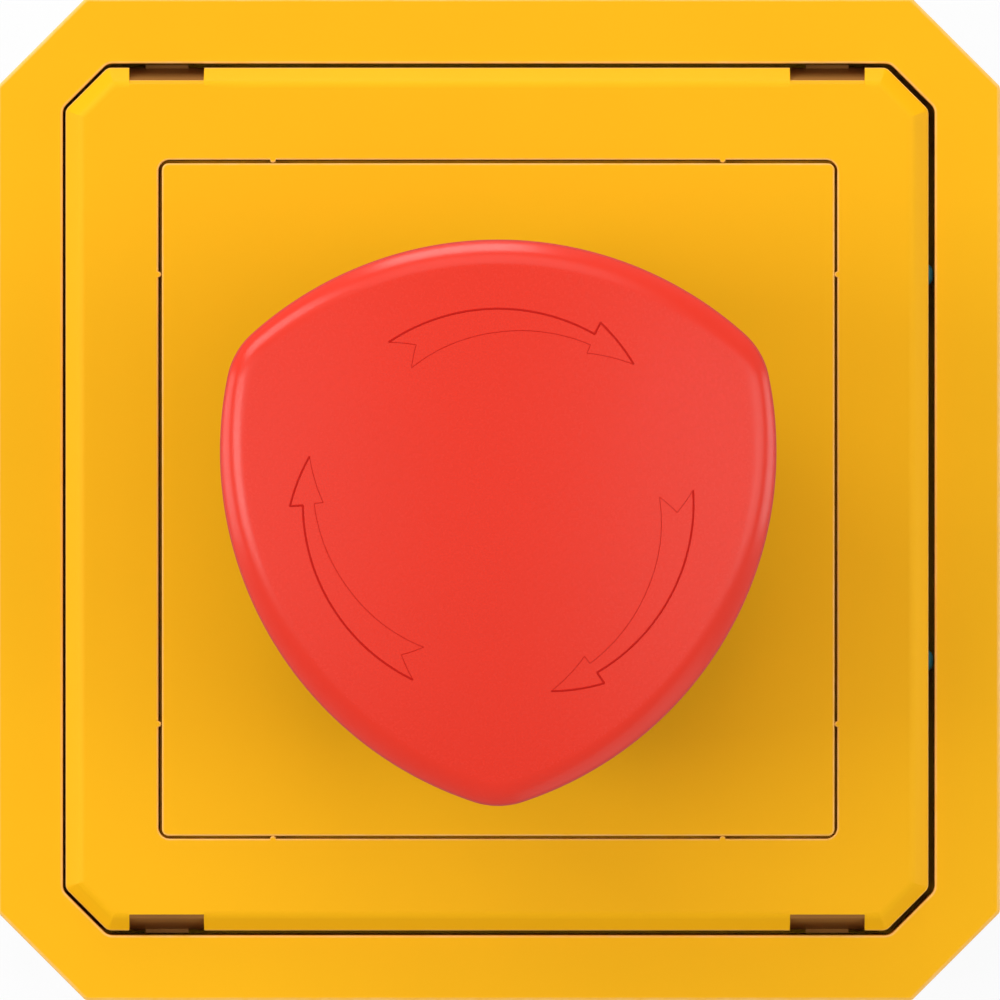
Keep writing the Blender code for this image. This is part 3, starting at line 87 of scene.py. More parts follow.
CLEARANCE = 0.3 * MM
HOLD = 0.05 * MM                # from an arc to the flat's first point: it shades flat
TINY = 0.02 * MM
FINE = 0.1 * MM                 # roundings that are too small to be a size of their own
SOFT = 0.2 * MM
NECK_EDGE = 0.15 * MM
WIDE_EDGE = 0.3 * MM
POCKET_EDGE = 0.5 * MM
CUT = 2 - sqrt(2)               # a cut corner's leg shrinks by this per unit of inset
ROOM = 0.45                     # share of the shorter flat that an arc may take up
ARC_STEPS = 5
CORNER_STEPS = 8
SHARP = radians(28)             # edges that bend more than this shade sharp
FLAT = radians(1)               # facets of the CAD that bend less than this are joined
MERGE = 0.0005 * MM
CAD_MERGE = 0.001 * MM
UPPER_NOTCH_SHADE_SHARE = 0.15        # share of the painted shade kept near the face in the upper notches, which face the light


def length(name, description, millimetres):
    return FloatProperty(name=name, description=description, default=millimetres * MM,
                         unit='LENGTH', subtype='DISTANCE', precision=5)


def tilt(name, description, degrees):
    return FloatProperty(name=name, description=description, default=radians(degrees),
                         subtype='ANGLE')


def colour(name, description, rgb):
    return FloatVectorProperty(name=name, description=description, default=rgb,
                               subtype='COLOR', size=3, min=0, max=1)


def power(name, description, watts):
    return FloatProperty(name=name, description=description, default=watts, min=0,
                         unit='POWER')


class CaseSizes(PropertyGroup):
    """Sizes of the eight-sided cover and its window."""
    wall: length("Wall", "Thickness of the cover's side walls", 2.4)
    cut: length("Cut corner", "Leg of the cut corners", 5.88)
    corner: length("Corner rounding", "Rounding of the upright edges", 0.5)
    edge: length("Face rounding", "Rounding between the face and the sides", 0.2)
    lip: length("Box lip", "Height of the box's lip inside the cover", 3.0)
    lip_width: length("Box lip width", "Thickness of that lip", 1.0)
    rebate: length("Rebate", "Room for the seal above the lip", 1.6)
    window: length("Window", "Half width of the window", 28.9)
    window_cut: length("Window cut", "Leg of the window's cut corners", 2.96)
    window_corner: length("Window corner", "Rounding of the window's corners", 0.85)
    window_edge: length("Window edge", "Rounding of the window's rim", 0.14)
    tray: length("Tray depth", "Face down to the tray's floor", 6.0)
    floor: length("Tray floor", "Thickness of the tray's floor", 2.0)
    hole: length("Tray hole", "Half width of the hole in the tray", 23.0)
    hole_corner: length("Hole corner", "Rounding of the hole's corners", 2.0)


class CarrierSizes(PropertyGroup):
    """Sizes of the bevelled carrier, its notches, tongues and nubs."""
    corner: length("Corner rounding", "Rounding of the carrier's corners", 0.65)
    cut: length("Cut corner", "Leg of the cut corners", 2.784)
    bevel: length("Bevel", "Width and height of the bevel", 1.0)
    bevel_edge: length("Bevel rounding", "Rounding where the bevel meets the face", 0.8)
    rim: length("Rim rounding", "Rounding where the bevel meets the side", 0.12)
    skin: length("Skin", "Thickness of the face", 2.0)
    outer_wall: length("Outer wall", "Thickness of the outer wall", 1.6)
    inner_wall: length("Inner wall", "Thickness of the wall round the module", 1.5)
    ledge: length("Ledge", "Height of the ledge that holds the plate", 0.8)
    ledge_width: length("Ledge width", "How far the ledge stands into the window", 1.5)
    module: length("Module window", "Half width of the module's window", 22.495)
    module_right: length("Window to the right", "Where it lies in the carrier", 0.055)
    module_corner: length("Module corner", "Rounding of that window's corners", 0.75)
    module_edge: length("Module edge", "Rounding of that window's rim", 0.1)
    play_right: length("Play to the right", "Where the carrier lies in its gap", -0.025)
    play_up: length("Play upwards", "Where the carrier lies in its gap", 0.02)
    notch_at: length("Notch place", "Distance of a notch from the middle", 21.9)
    notch_width: length("Notch width", "Width of a pry notch", 4.95)
    notch_depth: length("Notch depth", "How far a notch cuts into the face", 1.08)
    notch_drop: length("Notch drop", "Face down to the foot of the notch's ramp", 3.6)
    notch_edge: length("Notch edge", "Bevel between the face and the ramp", 0.25)
    tongue_width: length("Tongue width", "Width of a clip tongue", 2.88)
    tongue_reach: length("Tongue reach", "How far a tongue stands into the gap", 0.2)
    tongue_drop: length("Tongue drop", "Face down to the tongue's top", 3.4)
    nub_at: length("Nub place", "Distance of a nub from the middle", 14.9)
    nub: length("Nub", "Radius of a centring nub", 0.19)
    nub_height: length("Nub height", "Height of a centring nub", 1.2)
    tab_up: length("Upper tab", "Height of the upper seal tab on the wall", 14.9)
    tab_down: length("Lower tab", "Height of the lower seal tab on the wall", -10.7)
    tab_width: length("Tab width", "Width of a seal tab", 1.5)
    tab_depth: length("Tab depth", "How far a tab stands in the carrier's side", 0.45)
    tab_reach: length("Tab reach", "How far a tab stands into the gap", 0.31)
    tab_drop: length("Tab drop", "Face down to a tab's top", 1.9)
    tab_dome: length("Tab dome", "Height of a tab's domed top", 0.5)
    seal_width: length("Seal width", "Width of the flat seal", 4.6)


class PlateSizes(PropertyGroup):
    """Sizes of the module plate and the ring nut."""
    corner: length("Corner rounding", "Rounding of the plate's corners", 0.45)
    grown: length("Grown", "How much each side lies outside the frame's plate", 0.04)
    right: length("To the right", "Where the plate lies in its window", 0.055)
    step: length("Step", "How far the skirt stands out below the face", 0.165)
    step_drop: length("Step drop", "Face down to the skirt's step", 1.6)
    edge: length("Edge rounding", "Rounding of the plate's front edge", 0.1)
    skin: length("Plate", "Thickness of the plate", 2.0)
    wall: length("Skirt", "Thickness of the plate's skirt", 1.3)
    bore: length("Bore", "Radius of the bore for the collar", 13.5)
    nut_inner: length("Nut bore", "Inner radius of the ring nut", 13.5)
    nut_rim: length("Nut rim", "Cut edge of the ring nut", 0.5)
    nut_notch: length("Nut notch", "Width of a spanner notch", 3.0)


class HeadSizes(PropertyGroup):
    """Sizes of the three-lobed head and its turn arrows."""
    reach: length("Reach", "Axis to the tip of a lobe", 19.85)
    flat: length("Flat", "Axis to the middle of a side", 17.35)
    lobe: length("Lobe", "Radius of a lobe", 5.1)
    draft: length("Draft", "How far the sides lean in towards the rim", 2.0)
    foot: length("Foot", "Rounding under the rim", 0.7)
    rim: length("Rim", "Rounding next to the parting line", 1.4)
    edge: length("Edge", "Wide rounding of the front edge", 2.4)
    crown: length("Crown", "Rise of the front from its edge to its middle", 1.0)
    pocket: length("Pocket", "Outer radius of the pocket under the head", 14.2)
    hub: length("Hub", "Radius of the hub in the pocket", 9.0)
    socket: length("Socket", "Radius of the stem's socket", 5.5)
    socket_depth: length("Socket depth", "Depth of the stem's socket", 2.0)
    pocket_depth: length("Pocket depth", "Depth of the pocket", 5.0)
    hub_recess: length("Hub recess", "How far the hub ends inside the rim", 1.0)
    arrow: length("Arrow radius", "Radius of the arrows' outer line", 12.82)
    arrow_line: length("Arrow line", "Width of the arrows' engraved line", 0.14)
    # Painted shade round the head's outline, along its parting line, spreads over this width.
    seam: length("Parting line", "Width of the parting line round the head", 0.15)


class GrommetSizes(PropertyGroup):
    """Sizes of the cable membranes."""
    neck: length("Neck", "Radius of the neck in the wall", 8.7)
    rim: length("Rim", "Thickness of the outer rim", 0.5)
    dish: length("Dish", "Depth of the thin middle", 0.8)
    groove: length("Groove", "Depth of the rings that are cut to fit a cable", 0.35)
    inner: length("Inner rim", "Radius of the rim inside the box", 10.3)
    inner_rim: length("Inner rim thickness", "Thickness of the rim inside the box", 1.2)
    chamfer: length("Chamfer", "Width of the inner rim's chamfer", 0.8)
    skin: length("Skin", "Thickness of the membrane", 1.0)


class Colours(PropertyGroup):
    """Colours of the mouldings, linear."""
    yellow: colour("Yellow", "Cover, carrier and plate", (0.868, 0.440, 0.003))
    red: colour("Red", "Mushroom head", (0.705, 0.0180, 0.001))
    # The arrows' darker red is painted shade of engraved grooves, laid on raised beads.
    arrow: colour("Arrow", "Engraved lines on the head", (0.47, 0.010, 0.006))
    box: colour("Box", "Wall box", (0.55, 0.56, 0.55))
    teal: colour("Teal", "Seal under the carrier", (0.03, 0.24, 0.32))


# Each lamp's azimuth and elevation in degrees, its side in metres and its power in watts
LAMPS = {
    "left": (180, 48, 0.33, 1.9), "right": (0, 48, 0.36, 0.97),
    "low_left": (180, 8, 0.45, 1.7), "low_right": (0, 8, 0.4, 1.5),
    "low_top": (97, 8, 0.4, 2.7), "low_bottom": (-55, 15, 0.6, 0.6),
    "high_left": (180, 69, 0.45, 0.6), "high_right": (0, 69, 0.45, 0.95),
    "corner": (135, 36, 0.34, 1.65), "top": (90, 50, 0.5, 1.15),
}
LAMP_DISTANCE = 0.9


class Studio(PropertyGroup):
    """Camera and light."""
    distance: length("Camera distance", "Camera to the cover's face", 2600)
    view_width: length("View width", "What the camera sees at the cover's face", 66.3)
    aim_right: length("Aim right", "Middle of the picture, right of the axis", 0.083)
    aim_up: length("Aim up", "Middle of the picture, above the axis", -0.036)
    tilt_up: tilt("Tilt up", "Camera towards +Y of the push axis", 0.65)
    tilt_right: tilt("Tilt right", "Camera towards +X of the push axis", 0.08)
    ambient: FloatProperty(name="Ambient", description="Strength of the plain surroundings",
                           default=0.415, min=0)


for lamp_name, (*_, watts) in LAMPS.items():
    title = lamp_name.replace("_", " ")
    Studio.__annotations__[lamp_name] = power(
        f"{title.capitalize()} lamp", f"Power of the {title} lamp", watts)


# Outlines

def arc(radius, turn, x=0.0, y=0.0):
    """Points at a radius and at angles round a centre."""
    return np.column_stack([x + radius * np.cos(turn), y + radius * np.sin(turn)])


class CutSquare:
    """Parallel squares with cut corners, all of one sort.

    A square of half width h has cuts whose leg is the first leg less CUT times the inset,
    and roundings whose radius is the first radius less the inset. Each side is sampled at
    the stops, which are places along it, and each end of a cut is an arc that touches
    the side and the cut.
    """
    KEEP = 0.75                 # share of a short side on which the stops stay in place

    def __init__(self, half, leg, radius, stops=()):
        self.half = half
        self.leg = leg
        self.radius = radius
        self.stops = np.asarray(stops, float)

    @classmethod
    def rounded(cls, half, radius, stops=()):
        """A square with round corners is a cut square whose cut has no length."""
        return cls(half, CUT * radius, radius, stops)

    def side(self, end):
        """Stops along a side: those past the kept share of a short side are squeezed in."""
        last = end - HOLD
        keep = self.KEEP * last
        widest = np.abs(self.stops).max(initial=0)
        stops = self.stops
        if widest > last - HOLD:
            past = np.abs(stops) > keep
            squeezed = keep + (np.abs(stops) - keep) * (last - HOLD - keep) / (widest - keep)
            stops = np.where(past, np.sign(stops) * squeezed, stops)
        return np.concatenate([[-last], stops, [last]])

    def ring(self, half):
        inset = self.half - half
        leg = max(self.leg - CUT * inset, TINY)
        radius = max(self.radius - inset, TINY)
        bend = radius * tan(pi / 8)
        end = half - leg - bend
        along = self.side(end)
        turn = np.linspace(0, pi / 4, CORNER_STEPS + 1)
        first = arc(radius, turn, half - radius, end)
        second = arc(radius, turn + pi / 4, end, half - radius)
        middle = (first[-1] + second[0]) / 2
        slack = min(HOLD, np.linalg.norm(second[0] - first[-1]) / 3)
        pull = np.array([-1, 1]) / sqrt(2) * slack
        side = np.column_stack([np.full_like(along, half), along])
        quarter = np.concatenate([side, first, [first[-1] + pull, middle, second[0] - pull],
                                  second])
        x, y = quarter.T
        return np.concatenate([quarter, np.column_stack([-y, x]), -quarter,
                               np.column_stack([y, -x])])

    def places(self):
        """For each point of a ring: its side, or -1 on a corner, and its place along it."""
        corner = 1 + 2 * (CORNER_STEPS + 1) + 3
        along = np.concatenate([[np.nan], self.stops, np.full(corner, np.nan)])
        sides = np.repeat(np.arange(4), len(along))
        along = np.tile(along, 4)
        return np.where(np.isnan(along), -1, sides), np.nan_to_num(along, nan=1.0)


class Circle:
    """Circles sampled in the directions of another outline's points."""

    def __init__(self, like):
        self.angle = np.arctan2(like[:, 1], like[:, 0])

    @classmethod
    def even(cls, count):
        """Circles of evenly spread points."""
        return cls(arc(1.0, np.linspace(0, 2 * pi, count, endpoint=False)))

    def ring(self, radius):
        return arc(radius, self.angle)


class Trefoil:
    """Three long side arcs and three lobe arcs that meet tangentially.

    A side arc is centred beyond the axis, opposite its side. Its radius and centre come
    from the reach of the lobes and the distance of the flats. An inset keeps all the
    centres and shortens all the radii.
    """
    SIDE_STEPS = 120
    LOBE_STEPS = 40

    def __init__(self, reach, flat, lobe):
        self.reach = reach
        self.lobe = lobe
        self.lobe_at = reach - lobe
        tight = flat - lobe
        self.back = (self.lobe_at ** 2 - tight ** 2) / (2 * tight - self.lobe_at)
        self.flat = flat

    def ring(self, reach):
        inset = self.reach - reach
        lobe_at, back = self.lobe_at, self.back
        half = np.arctan2(lobe_at * sin(pi / 3), lobe_at * cos(pi / 3) + back)
        radius = self.flat + back - inset
        parts = []
        for k in range(3):
            side = pi / 2 + 2 * pi / 3 * k
            tip = side + pi / 3
            for start, end, steps, bend, off, towards in (
                    (side - half, side + half, self.SIDE_STEPS, radius, -back, side),
                    (side + half, tip + pi / 3 - half, self.LOBE_STEPS, self.lobe - inset,
                     lobe_at, tip)):
                parts.append(arc(bend, np.linspace(start, end, steps, endpoint=False),
                                 off * cos(towards), off * sin(towards)))
        return np.concatenate(parts)


# Profiles and meshes

def profile(corners, closed=True):
    """Levels of a profile from its corners, each (distance, height, rounding, outline).

    A corner with a rounding becomes an arc that touches both neighbours, from one unit
    vector to the other by equal angles, with one point on each flat beyond the arc.
    Each level is (distance, height, edge, outline), and edge is 1 on an arc.
    """
    spots = np.array([corner[:2] for corner in corners], float)
    last = len(spots) - 1
    levels = []
    for i, (distance, height, fillet, outline) in enumerate(corners):
        if not fillet or (not closed and i in (0, last)):
            levels.append((distance, height, 0.0, outline))
            continue
        here = spots[i]
        back = spots[i - 1] - here
        ahead = spots[i + 1 if i < last else 0] - here
        room = ROOM * min(np.linalg.norm(back), np.linalg.norm(ahead))
        back /= np.linalg.norm(back)
        ahead /= np.linalg.norm(ahead)
        opening = np.arccos(np.clip(back @ ahead, -1, 1))
        touch = min(fillet / tan(opening / 2), room)
        radius = touch * tan(opening / 2)
        inwards = (back + ahead) / np.linalg.norm(back + ahead)
        middle = here + inwards * radius / sin(opening / 2)
        start = here + back * touch - middle
        end = here + ahead * touch - middle
        turn = pi - opening
        share = np.linspace(0, 1, ARC_STEPS + 1)[:, None]
        bend = middle + (start * np.sin((1 - share) * turn)
                         + end * np.sin(share * turn)) / sin(turn)
        flat = touch + min(HOLD, 0.5 * room)
        bend = np.concatenate([[here + back * flat], bend, [here + ahead * flat]])
        # The edge weight on an arc later gives rubbing and a painted highlight.
        edge = np.sin(np.linspace(0, pi, len(bend)))
        levels += [(u, v, e, outline) for (u, v), e in zip(bend, edge)]
    return levels


def on(outline, *corners):
    """Corners of a profile that lie on one outline."""
    return [(*corner, outline) for corner in corners]


def with_heights(flat, heights):
    """Add heights, one for each point or for each level, to levels of flat points."""
    heights = np.broadcast_to(heights, flat.shape[:2])
    return np.concatenate([flat, heights[..., None]], axis=2)


def rings(levels):
    """The stack of outlines, as an array of levels by points by coordinates."""
    flat = np.array([outline.ring(distance) for distance, _, _, outline in levels])
    return with_heights(flat, np.array([height for _, height, _, _ in levels])[:, None])


def mesh_of(stack, closed):
    """Vertices and quads of a stack whose outlines close on themselves."""
    levels, around = stack.shape[:2]
    index = np.arange(levels * around).reshape(levels, around)
    if closed:
        index = np.concatenate([index, index[:1]])
    beside = np.roll(index, -1, axis=1)
    quads = np.stack([index[:-1], beside[:-1], beside[1:], index[1:]], axis=-1)
    return stack.reshape(-1, 3), quads.reshape(-1, 4)


def linked(name, data):
    """A new object at the origin."""
    thing = bpy.data.objects.new(name, data)
    bpy.context.scene.collection.objects.link(thing)
    return thing


def dressed(name, mesh, body, slot, stands_for, finish=None):
    """An object that rides on a body in place of CAD nodes, in the finish of its slot."""
    mesh.materials.clear()
    mesh.materials.append(finishes()[finish or slot])
    mesh.shade_smooth()
    mesh.set_sharp_from_angle(angle=SHARP)
    thing = linked(name, mesh)
    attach(thing, body)
    if stands_for:
        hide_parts(*stands_for)
    return thing


def piece(name, parts, body, slot, stands_for=(), grime=None, finish=None):
    """One object from one or more stacks, its doubles merged and its faces outwards.

    Each part is its stack, the edge weight of each level, and whether its levels close.
    Painted shade is a weight for each point of the only stack.
    """
    points, quads, edges, first = [], [], [], 0
    for stack, level_edges, closed in parts:
        p, q = mesh_of(stack, closed)
        points.append(p)
        quads.append(q + first)
        edges.append(np.repeat(level_edges, stack.shape[1]))
        first += len(p)
    points, quads = np.concatenate(points), np.concatenate(quads)
    mesh = bpy.data.meshes.new(name)
    mesh.from_pydata(points, [], quads)
    weights = {"edge": np.concatenate(edges)}
    if grime is not None:
        weights["grime"] = grime.ravel()
    for key, values in weights.items():
        mesh.attributes.new(key, 'FLOAT', 'POINT').data.foreach_set(
            "value", values.astype(np.float32))
    bm = bmesh.new()
    bm.from_mesh(mesh)
    bmesh.ops.remove_doubles(bm, verts=bm.verts, dist=MERGE)
    bmesh.ops.recalc_face_normals(bm, faces=bm.faces)
    bm.to_mesh(mesh)
    bm.free()
    dressed(name, mesh, body, slot, stands_for, finish)


def part(levels, closed=True, centre=0.0, changes=()):
    """A stack for piece(): rings of the levels, moved sideways.

    Each change is other levels and a weight for each point, by which it goes there.
    """
    stack = rings(levels)
    for other, weight in changes:
        stack = stack + (rings(other) - stack) * weight[None, :, None]
    stack[..., 0] += centre
    return stack, np.array([edge for _, _, edge, _ in levels]), closed


def merged(node, name, body, slot):
    """A copy of a CAD node whose doubles are merged and whose round walls shade smooth."""
    mesh = NODES[node].data.copy()
    mesh.name = name
    bm = bmesh.new()
    bm.from_mesh(mesh)
    bmesh.ops.remove_doubles(bm, verts=bm.verts, dist=CAD_MERGE)
    bmesh.ops.dissolve_limit(bm, angle_limit=FLAT, verts=bm.verts, edges=bm.edges)
    bm.to_mesh(mesh)
    bm.free()
    return dressed(name, mesh, body, slot, [node])


def softened(node, name, width, body, slot):
    """A merged copy of a CAD node with rounded edges."""
    bevel = merged(node, name, body, slot).modifiers.new("Rounded edges", 'BEVEL')
    bevel.width = width
    bevel.segments = 2
    bevel.limit_method = 'ANGLE'
    bevel.angle_limit = SHARP
    bevel.harden_normals = True


# Finishes

class Shade:
    """One socket of a material. Arithmetic on it adds Math nodes."""

    def __init__(self, finish, socket):
        self.finish = finish
        self.socket = socket

    def maths(self, operation, first, second):
        return self.finish.node("ShaderNodeMath", {"operation": operation},
                                {0: first, 1: second})

    def __add__(self, other):
        return self.maths('ADD', self, other)

    def __radd__(self, other):
        return self.maths('ADD', other, self)

    def __sub__(self, other):
        return self.maths('SUBTRACT', self, other)

    def __rsub__(self, other):
        return self.maths('SUBTRACT', other, self)

    def __mul__(self, other):
        return self.maths('MULTIPLY', self, other)

    def __rmul__(self, other):
        return self.maths('MULTIPLY', other, self)


class Nodes:
    """A node tree whose nodes are added by node() and by arithmetic on their sockets."""

    def __init__(self, tree):
        self.tree = tree
        tree.nodes.clear()

    def node(self, kind, settings=None, inputs=None, output=0):
        """Add a node: its settings first, then its sockets' values or links."""
        node = self.tree.nodes.new(kind)
        for key, value in (settings or {}).items():
            setattr(node, key, value)
        for key, value in (inputs or {}).items():
            if isinstance(value, Shade):
                self.tree.links.new(value.socket, node.inputs[key])
            else:
                node.inputs[key].default_value = value
        return Shade(self, node.outputs[output]) if node.outputs else node

    def seen_white(self):
        """1 for rays from the camera and for mirrored and transmitted rays, else 0."""
        rays = [self.node("ShaderNodeLightPath", output=f"Is {kind} Ray")
                for kind in ("Camera", "Glossy", "Transmission")]
        return rays[0] + rays[1] + rays[2]


class Finish(Nodes):
    """A material, with the noises and the bump that its surface is built from."""

    def __init__(self, name):
        self.material = bpy.data.materials.new(name)
        self.material.use_nodes = True
        super().__init__(self.material.node_tree)
        self.place = self.node("ShaderNodeTexCoord", output="Object")

    def noise(self, size, detail=2.0, roughness=0.5, stretch=None):
        """Noise from 0 to 1 whose features are about this size."""
        place = self.place
        if stretch:
            place = self.node("ShaderNodeMapping", {}, {"Vector": place, "Scale": stretch})
        return self.node("ShaderNodeTexNoise", {}, {
            "Vector": place, "Scale": 1 / size, "Detail": detail, "Roughness": roughness})

    def mixed(self, factor, first, second):
        """First colour where the factor is 0, and second where it is 1."""
        return self.node("ShaderNodeMix", {"data_type": 'RGBA'},
                         {"Factor": factor, 6: first, 7: second}, output=2)

    def bump(self, height, strength, distance):
        return self.node("ShaderNodeBump", {}, {
            "Height": height, "Strength": strength, "Distance": distance})

    def shader(self, inputs):
        """Close the material with a Principled shader."""
        shader = self.node("ShaderNodeBsdfPrincipled", {}, inputs)
        self.node("ShaderNodeOutputMaterial", {}, {"Surface": shader})
        return self.material


def rgba(rgb, factor=1.0):
    return (*(min(channel * factor, 1) for channel in rgb), 1)


SPRING_STEEL = "spring_steel"   # the frame's own material, which the hidden springs keep
# Tones of painted shade: in the pry notches, and round the head's outline at its parting
# line.
NOTCH_SHADE = (0.25, 0.105, 0.030, 1)
OUTLINE_SHADE = (0.20, 0.006, 0.004, 1)


def moulded(name, rgb, roughness, grain, specular=0.3, edge_highlight=0.08, depth=0.004 * MM,
            shade_tone=NOTCH_SHADE):
    """Injection-moulded plastic: faint flow clouds, eroded grain, painted edge highlight,
    painted shade.

    Colour runs between two close tones by a noise of about 9 mm. The grain is the sum of
    two noises. Where an edge is rounded it is smoother from rubbing and lighter by a painted
    highlight, broken up by a noise. Painted shade darkens and dulls the pry notches and the
    head's outline at its parting line, which the mesh marks.
    """
    finish = Finish(name)
    clouds = finish.noise(9 * MM, 3)
    fine = finish.noise(grain, 3, 0.6)
    coarse = finish.noise(5 * grain, 2)
    # Edge weight: rubbing makes rounded edges smoother, and a painted highlight makes them
    # lighter.
    worn_and_lit = finish.node("ShaderNodeAttribute", {"attribute_name": "edge"}, output="Fac")
    rubbed_and_lit = worn_and_lit * finish.noise(1.4 * MM, 3, 0.7)
    tone = finish.mixed(clouds, rgba(rgb, 0.975), rgba(rgb, 1.02))
    tone = finish.mixed(rubbed_and_lit * edge_highlight, tone, rgba([0.6 * c + 0.4 for c in rgb]))
    # Painted shade, where the mesh marks it: darker and duller.
    grime = finish.node("ShaderNodeAttribute", {"attribute_name": "grime"}, output="Fac")
    tone = finish.mixed(grime * (0.85 + 0.15 * clouds), tone, shade_tone)
    return finish.shader({
        "Base Color": tone,
        "Roughness": roughness - 0.04 + 0.08 * fine - 0.12 * rubbed_and_lit + 0.3 * grime,
        "Normal": finish.bump(0.7 * fine + 0.3 * coarse, 0.35, depth),
        "Specular IOR Level": specular})


def rubber(name, rgb, roughness):
    """Rubber: matt, with a bloom of pale dust in the hollows of its grain."""
    finish = Finish(name)
    bloom = finish.noise(2.5 * MM, 4, 0.65)
    grain = finish.noise(0.18 * MM, 3, 0.6)
    tone = finish.mixed(bloom * 0.25, rgba(rgb), rgba([c + 0.05 for c in rgb]))
    return finish.shader({
        "Base Color": tone,
        "Roughness": roughness + 0.12 * grain,
        "Normal": finish.bump(grain, 0.5, 0.008 * MM),
        "Specular IOR Level": 0.35})


def metal(name, rgb, roughness, stretch, stain):
    """Plated or drawn metal: fine lines along the work, and a few duller patches."""
    finish = Finish(name)
    lines = finish.noise(0.15 * MM, 3, 0.6, stretch)
    patches = finish.noise(1.8 * MM, 4, 0.6)
    tone = finish.mixed(patches * stain, rgba(rgb), rgba([0.6 * c for c in rgb]))
    return finish.shader({
        "Base Color": tone,
        "Metallic": 1.0,
        "Roughness": roughness + 0.15 * lines + 0.1 * patches,
        "Normal": finish.bump(lines, 0.3, 0.004 * MM)})


def finishes():
    """Every material of the object by its key, each made at the first call."""
    tint = bpy.context.scene.button_colours
    recipes = {
        # After the grain: specular level, strength of the painted edge highlight, bump depth,
        # tone of the painted shade.
        "yellow": (moulded, "yellow_moulding", tint.yellow, 0.47, 0.22 * MM, 0.12, 0.6),
        "red": (moulded, "red_head_moulding", tint.red, 0.27, 0.30 * MM, 0.36, 0.02,
                0.0005 * MM, OUTLINE_SHADE),
        "arrow": (moulded, "engraved_line", tint.arrow, 0.6, 0.12 * MM, 0.05, 0.0),
        "box": (moulded, "wall_box_moulding", tint.box, 0.5, 0.25 * MM),
        "black": (moulded, "black_moulding", (0.02, 0.02, 0.022), 0.45, 0.25 * MM),
        "dark_grey": (moulded, "dark_grey_moulding", (0.06, 0.062, 0.066), 0.48, 0.25 * MM),
        "pale_grey": (moulded, "pale_grey_moulding", (0.55, 0.56, 0.56), 0.4, 0.2 * MM),
        "rubber": (rubber, "black_rubber", (0.024, 0.024, 0.026), 0.6),
        "teal_seal": (rubber, "teal_rubber", tint.teal, 0.5),
        "steel": (metal, "zinc_plated_steel", (0.62, 0.63, 0.64), 0.26, (1, 1, 0.1), 0.3),
        "brass": (metal, "contact_brass", (0.72, 0.52, 0.22), 0.26, (0.15, 1, 1), 0.35),
    }
    made = {key: bpy.data.materials.get(name) or make(name, *values)
            for key, (make, name, *values) in recipes.items()}
    return {**made, "spring_steel": bpy.data.materials[SPRING_STEEL]}


# CAD nodes that stay in the model, by their finish and the starts of their names
NODE_FINISHES = {
    "rubber": ("case_gasket", "wall_plug", "lip_seal"),
    "steel": ("case_screw", "head_screw", "block_screw", "terminal_"),
    "pale_grey": ("push_rod", "contact_cover"),
    "spring_steel": ("latch_spring", "contact_spring"),
    "dark_grey": ("contact_block",),
    "black": ("contact_carrier",),
    "brass": ("bridge_", "fixed_contact"),
}


# Pieces

def case_levels(size):
    """Profile of the cover: up the side, over the face, down the window, the tray, back."""
    half, face = CASE_HIGH.x, CASE_HIGH.z
    skirt = BOX_HIGH.z - size.lip + CLEARANCE
    rebate = BOX_HIGH.z + size.rebate
    inner = half - size.wall
    relief = inner + size.lip_width + CLEARANCE
    stops = np.linspace(-20, 20, 9) * MM
    outside = CutSquare(half, size.cut, size.corner, stops)
    window = CutSquare(size.window, size.window_cut, size.window_corner, stops)
    hole = CutSquare.rounded(size.hole, size.hole_corner, stops)
    tray = face - size.tray
    under = tray - size.floor
    return profile(
        on(outside, (half, skirt, SOFT), (half, face, size.edge))
        + on(window, (size.window, face, size.window_edge), (size.window, tray, 0))
        + on(hole, (size.hole, tray, SOFT), (size.hole, under, 0))
        + on(outside, (inner, under, 0), (inner, rebate, 0), (relief, rebate, 0),
             (relief, skirt, 0)))


class BUTTON_OT_case(Operator):
    """Build the cover and the wall box."""
    bl_idname = "button.case"
    bl_label = "Case"

    def execute(self, context):
        levels = case_levels(context.scene.button_case)
        piece("front_cover", [part(levels)], "enclosure", "yellow", ["casing"])
        softened("back_box", "wall_box", WIDE_EDGE, "enclosure", "box")
        return {'FINISHED'}


def carrier_corners(size, outer, module, wall, top=None, crease=None):
    """Corners of the carrier.

    Wall is the five lower points of its outer side. Top replaces the point where the
    bevel meets the face, and crease the roundings at the bevel's two ends.
    """
    half, low, face = outer.half, CARRIER_LOW.z, CARRIER_HIGH.z
    window = size.module
    nub_low = face - size.nub_height
    ledge = window - size.ledge_width
    skin, inner, outside = face - size.skin, window + size.inner_wall, half - size.outer_wall
    return (
        on(outer, *((*spot, 0) for spot in wall[:-1]), (*wall[-1], crease or size.rim),
           (*(top or (half - size.bevel, face)), crease or size.bevel_edge),
           (half - 1.8 * size.bevel, face, 0))
        + on(module, (window + 0.5 * MM, face, 0), (window, face, size.module_edge),
             (window, nub_low, 0), (window, nub_low - HOLD, 0), (window, low + size.ledge, 0),
             (ledge, low + size.ledge, 0), (ledge, low, 0), (inner, low, 0), (inner, skin, 0))
        + on(outer, (outside, skin, 0), (outside, low, 0)))


def carrier_stops(size):
    """Places along a side where a notch, tongue, tab or nub begins or ends."""
    wide = size.tab_width + 2 * CLEARANCE
    steps = np.array([side * at + end * width / 2 for at, width in (
        (size.notch_at, size.notch_width), (size.notch_at, size.tongue_width),
        (size.tab_up, wide), (size.tab_down, wide)) for side in (-1, 1) for end in (-1, 1)])
    nub = size.nub * np.cos(np.linspace(0, pi, 9))
    return np.unique(np.round(np.concatenate([
        steps - TINY, steps + TINY, nub - size.nub_at, nub + size.nub_at,
        np.linspace(-9, 9, 7) * MM]), 7))


def within(along, at, width):
    return (np.abs(along - at) < width / 2).astype(float)


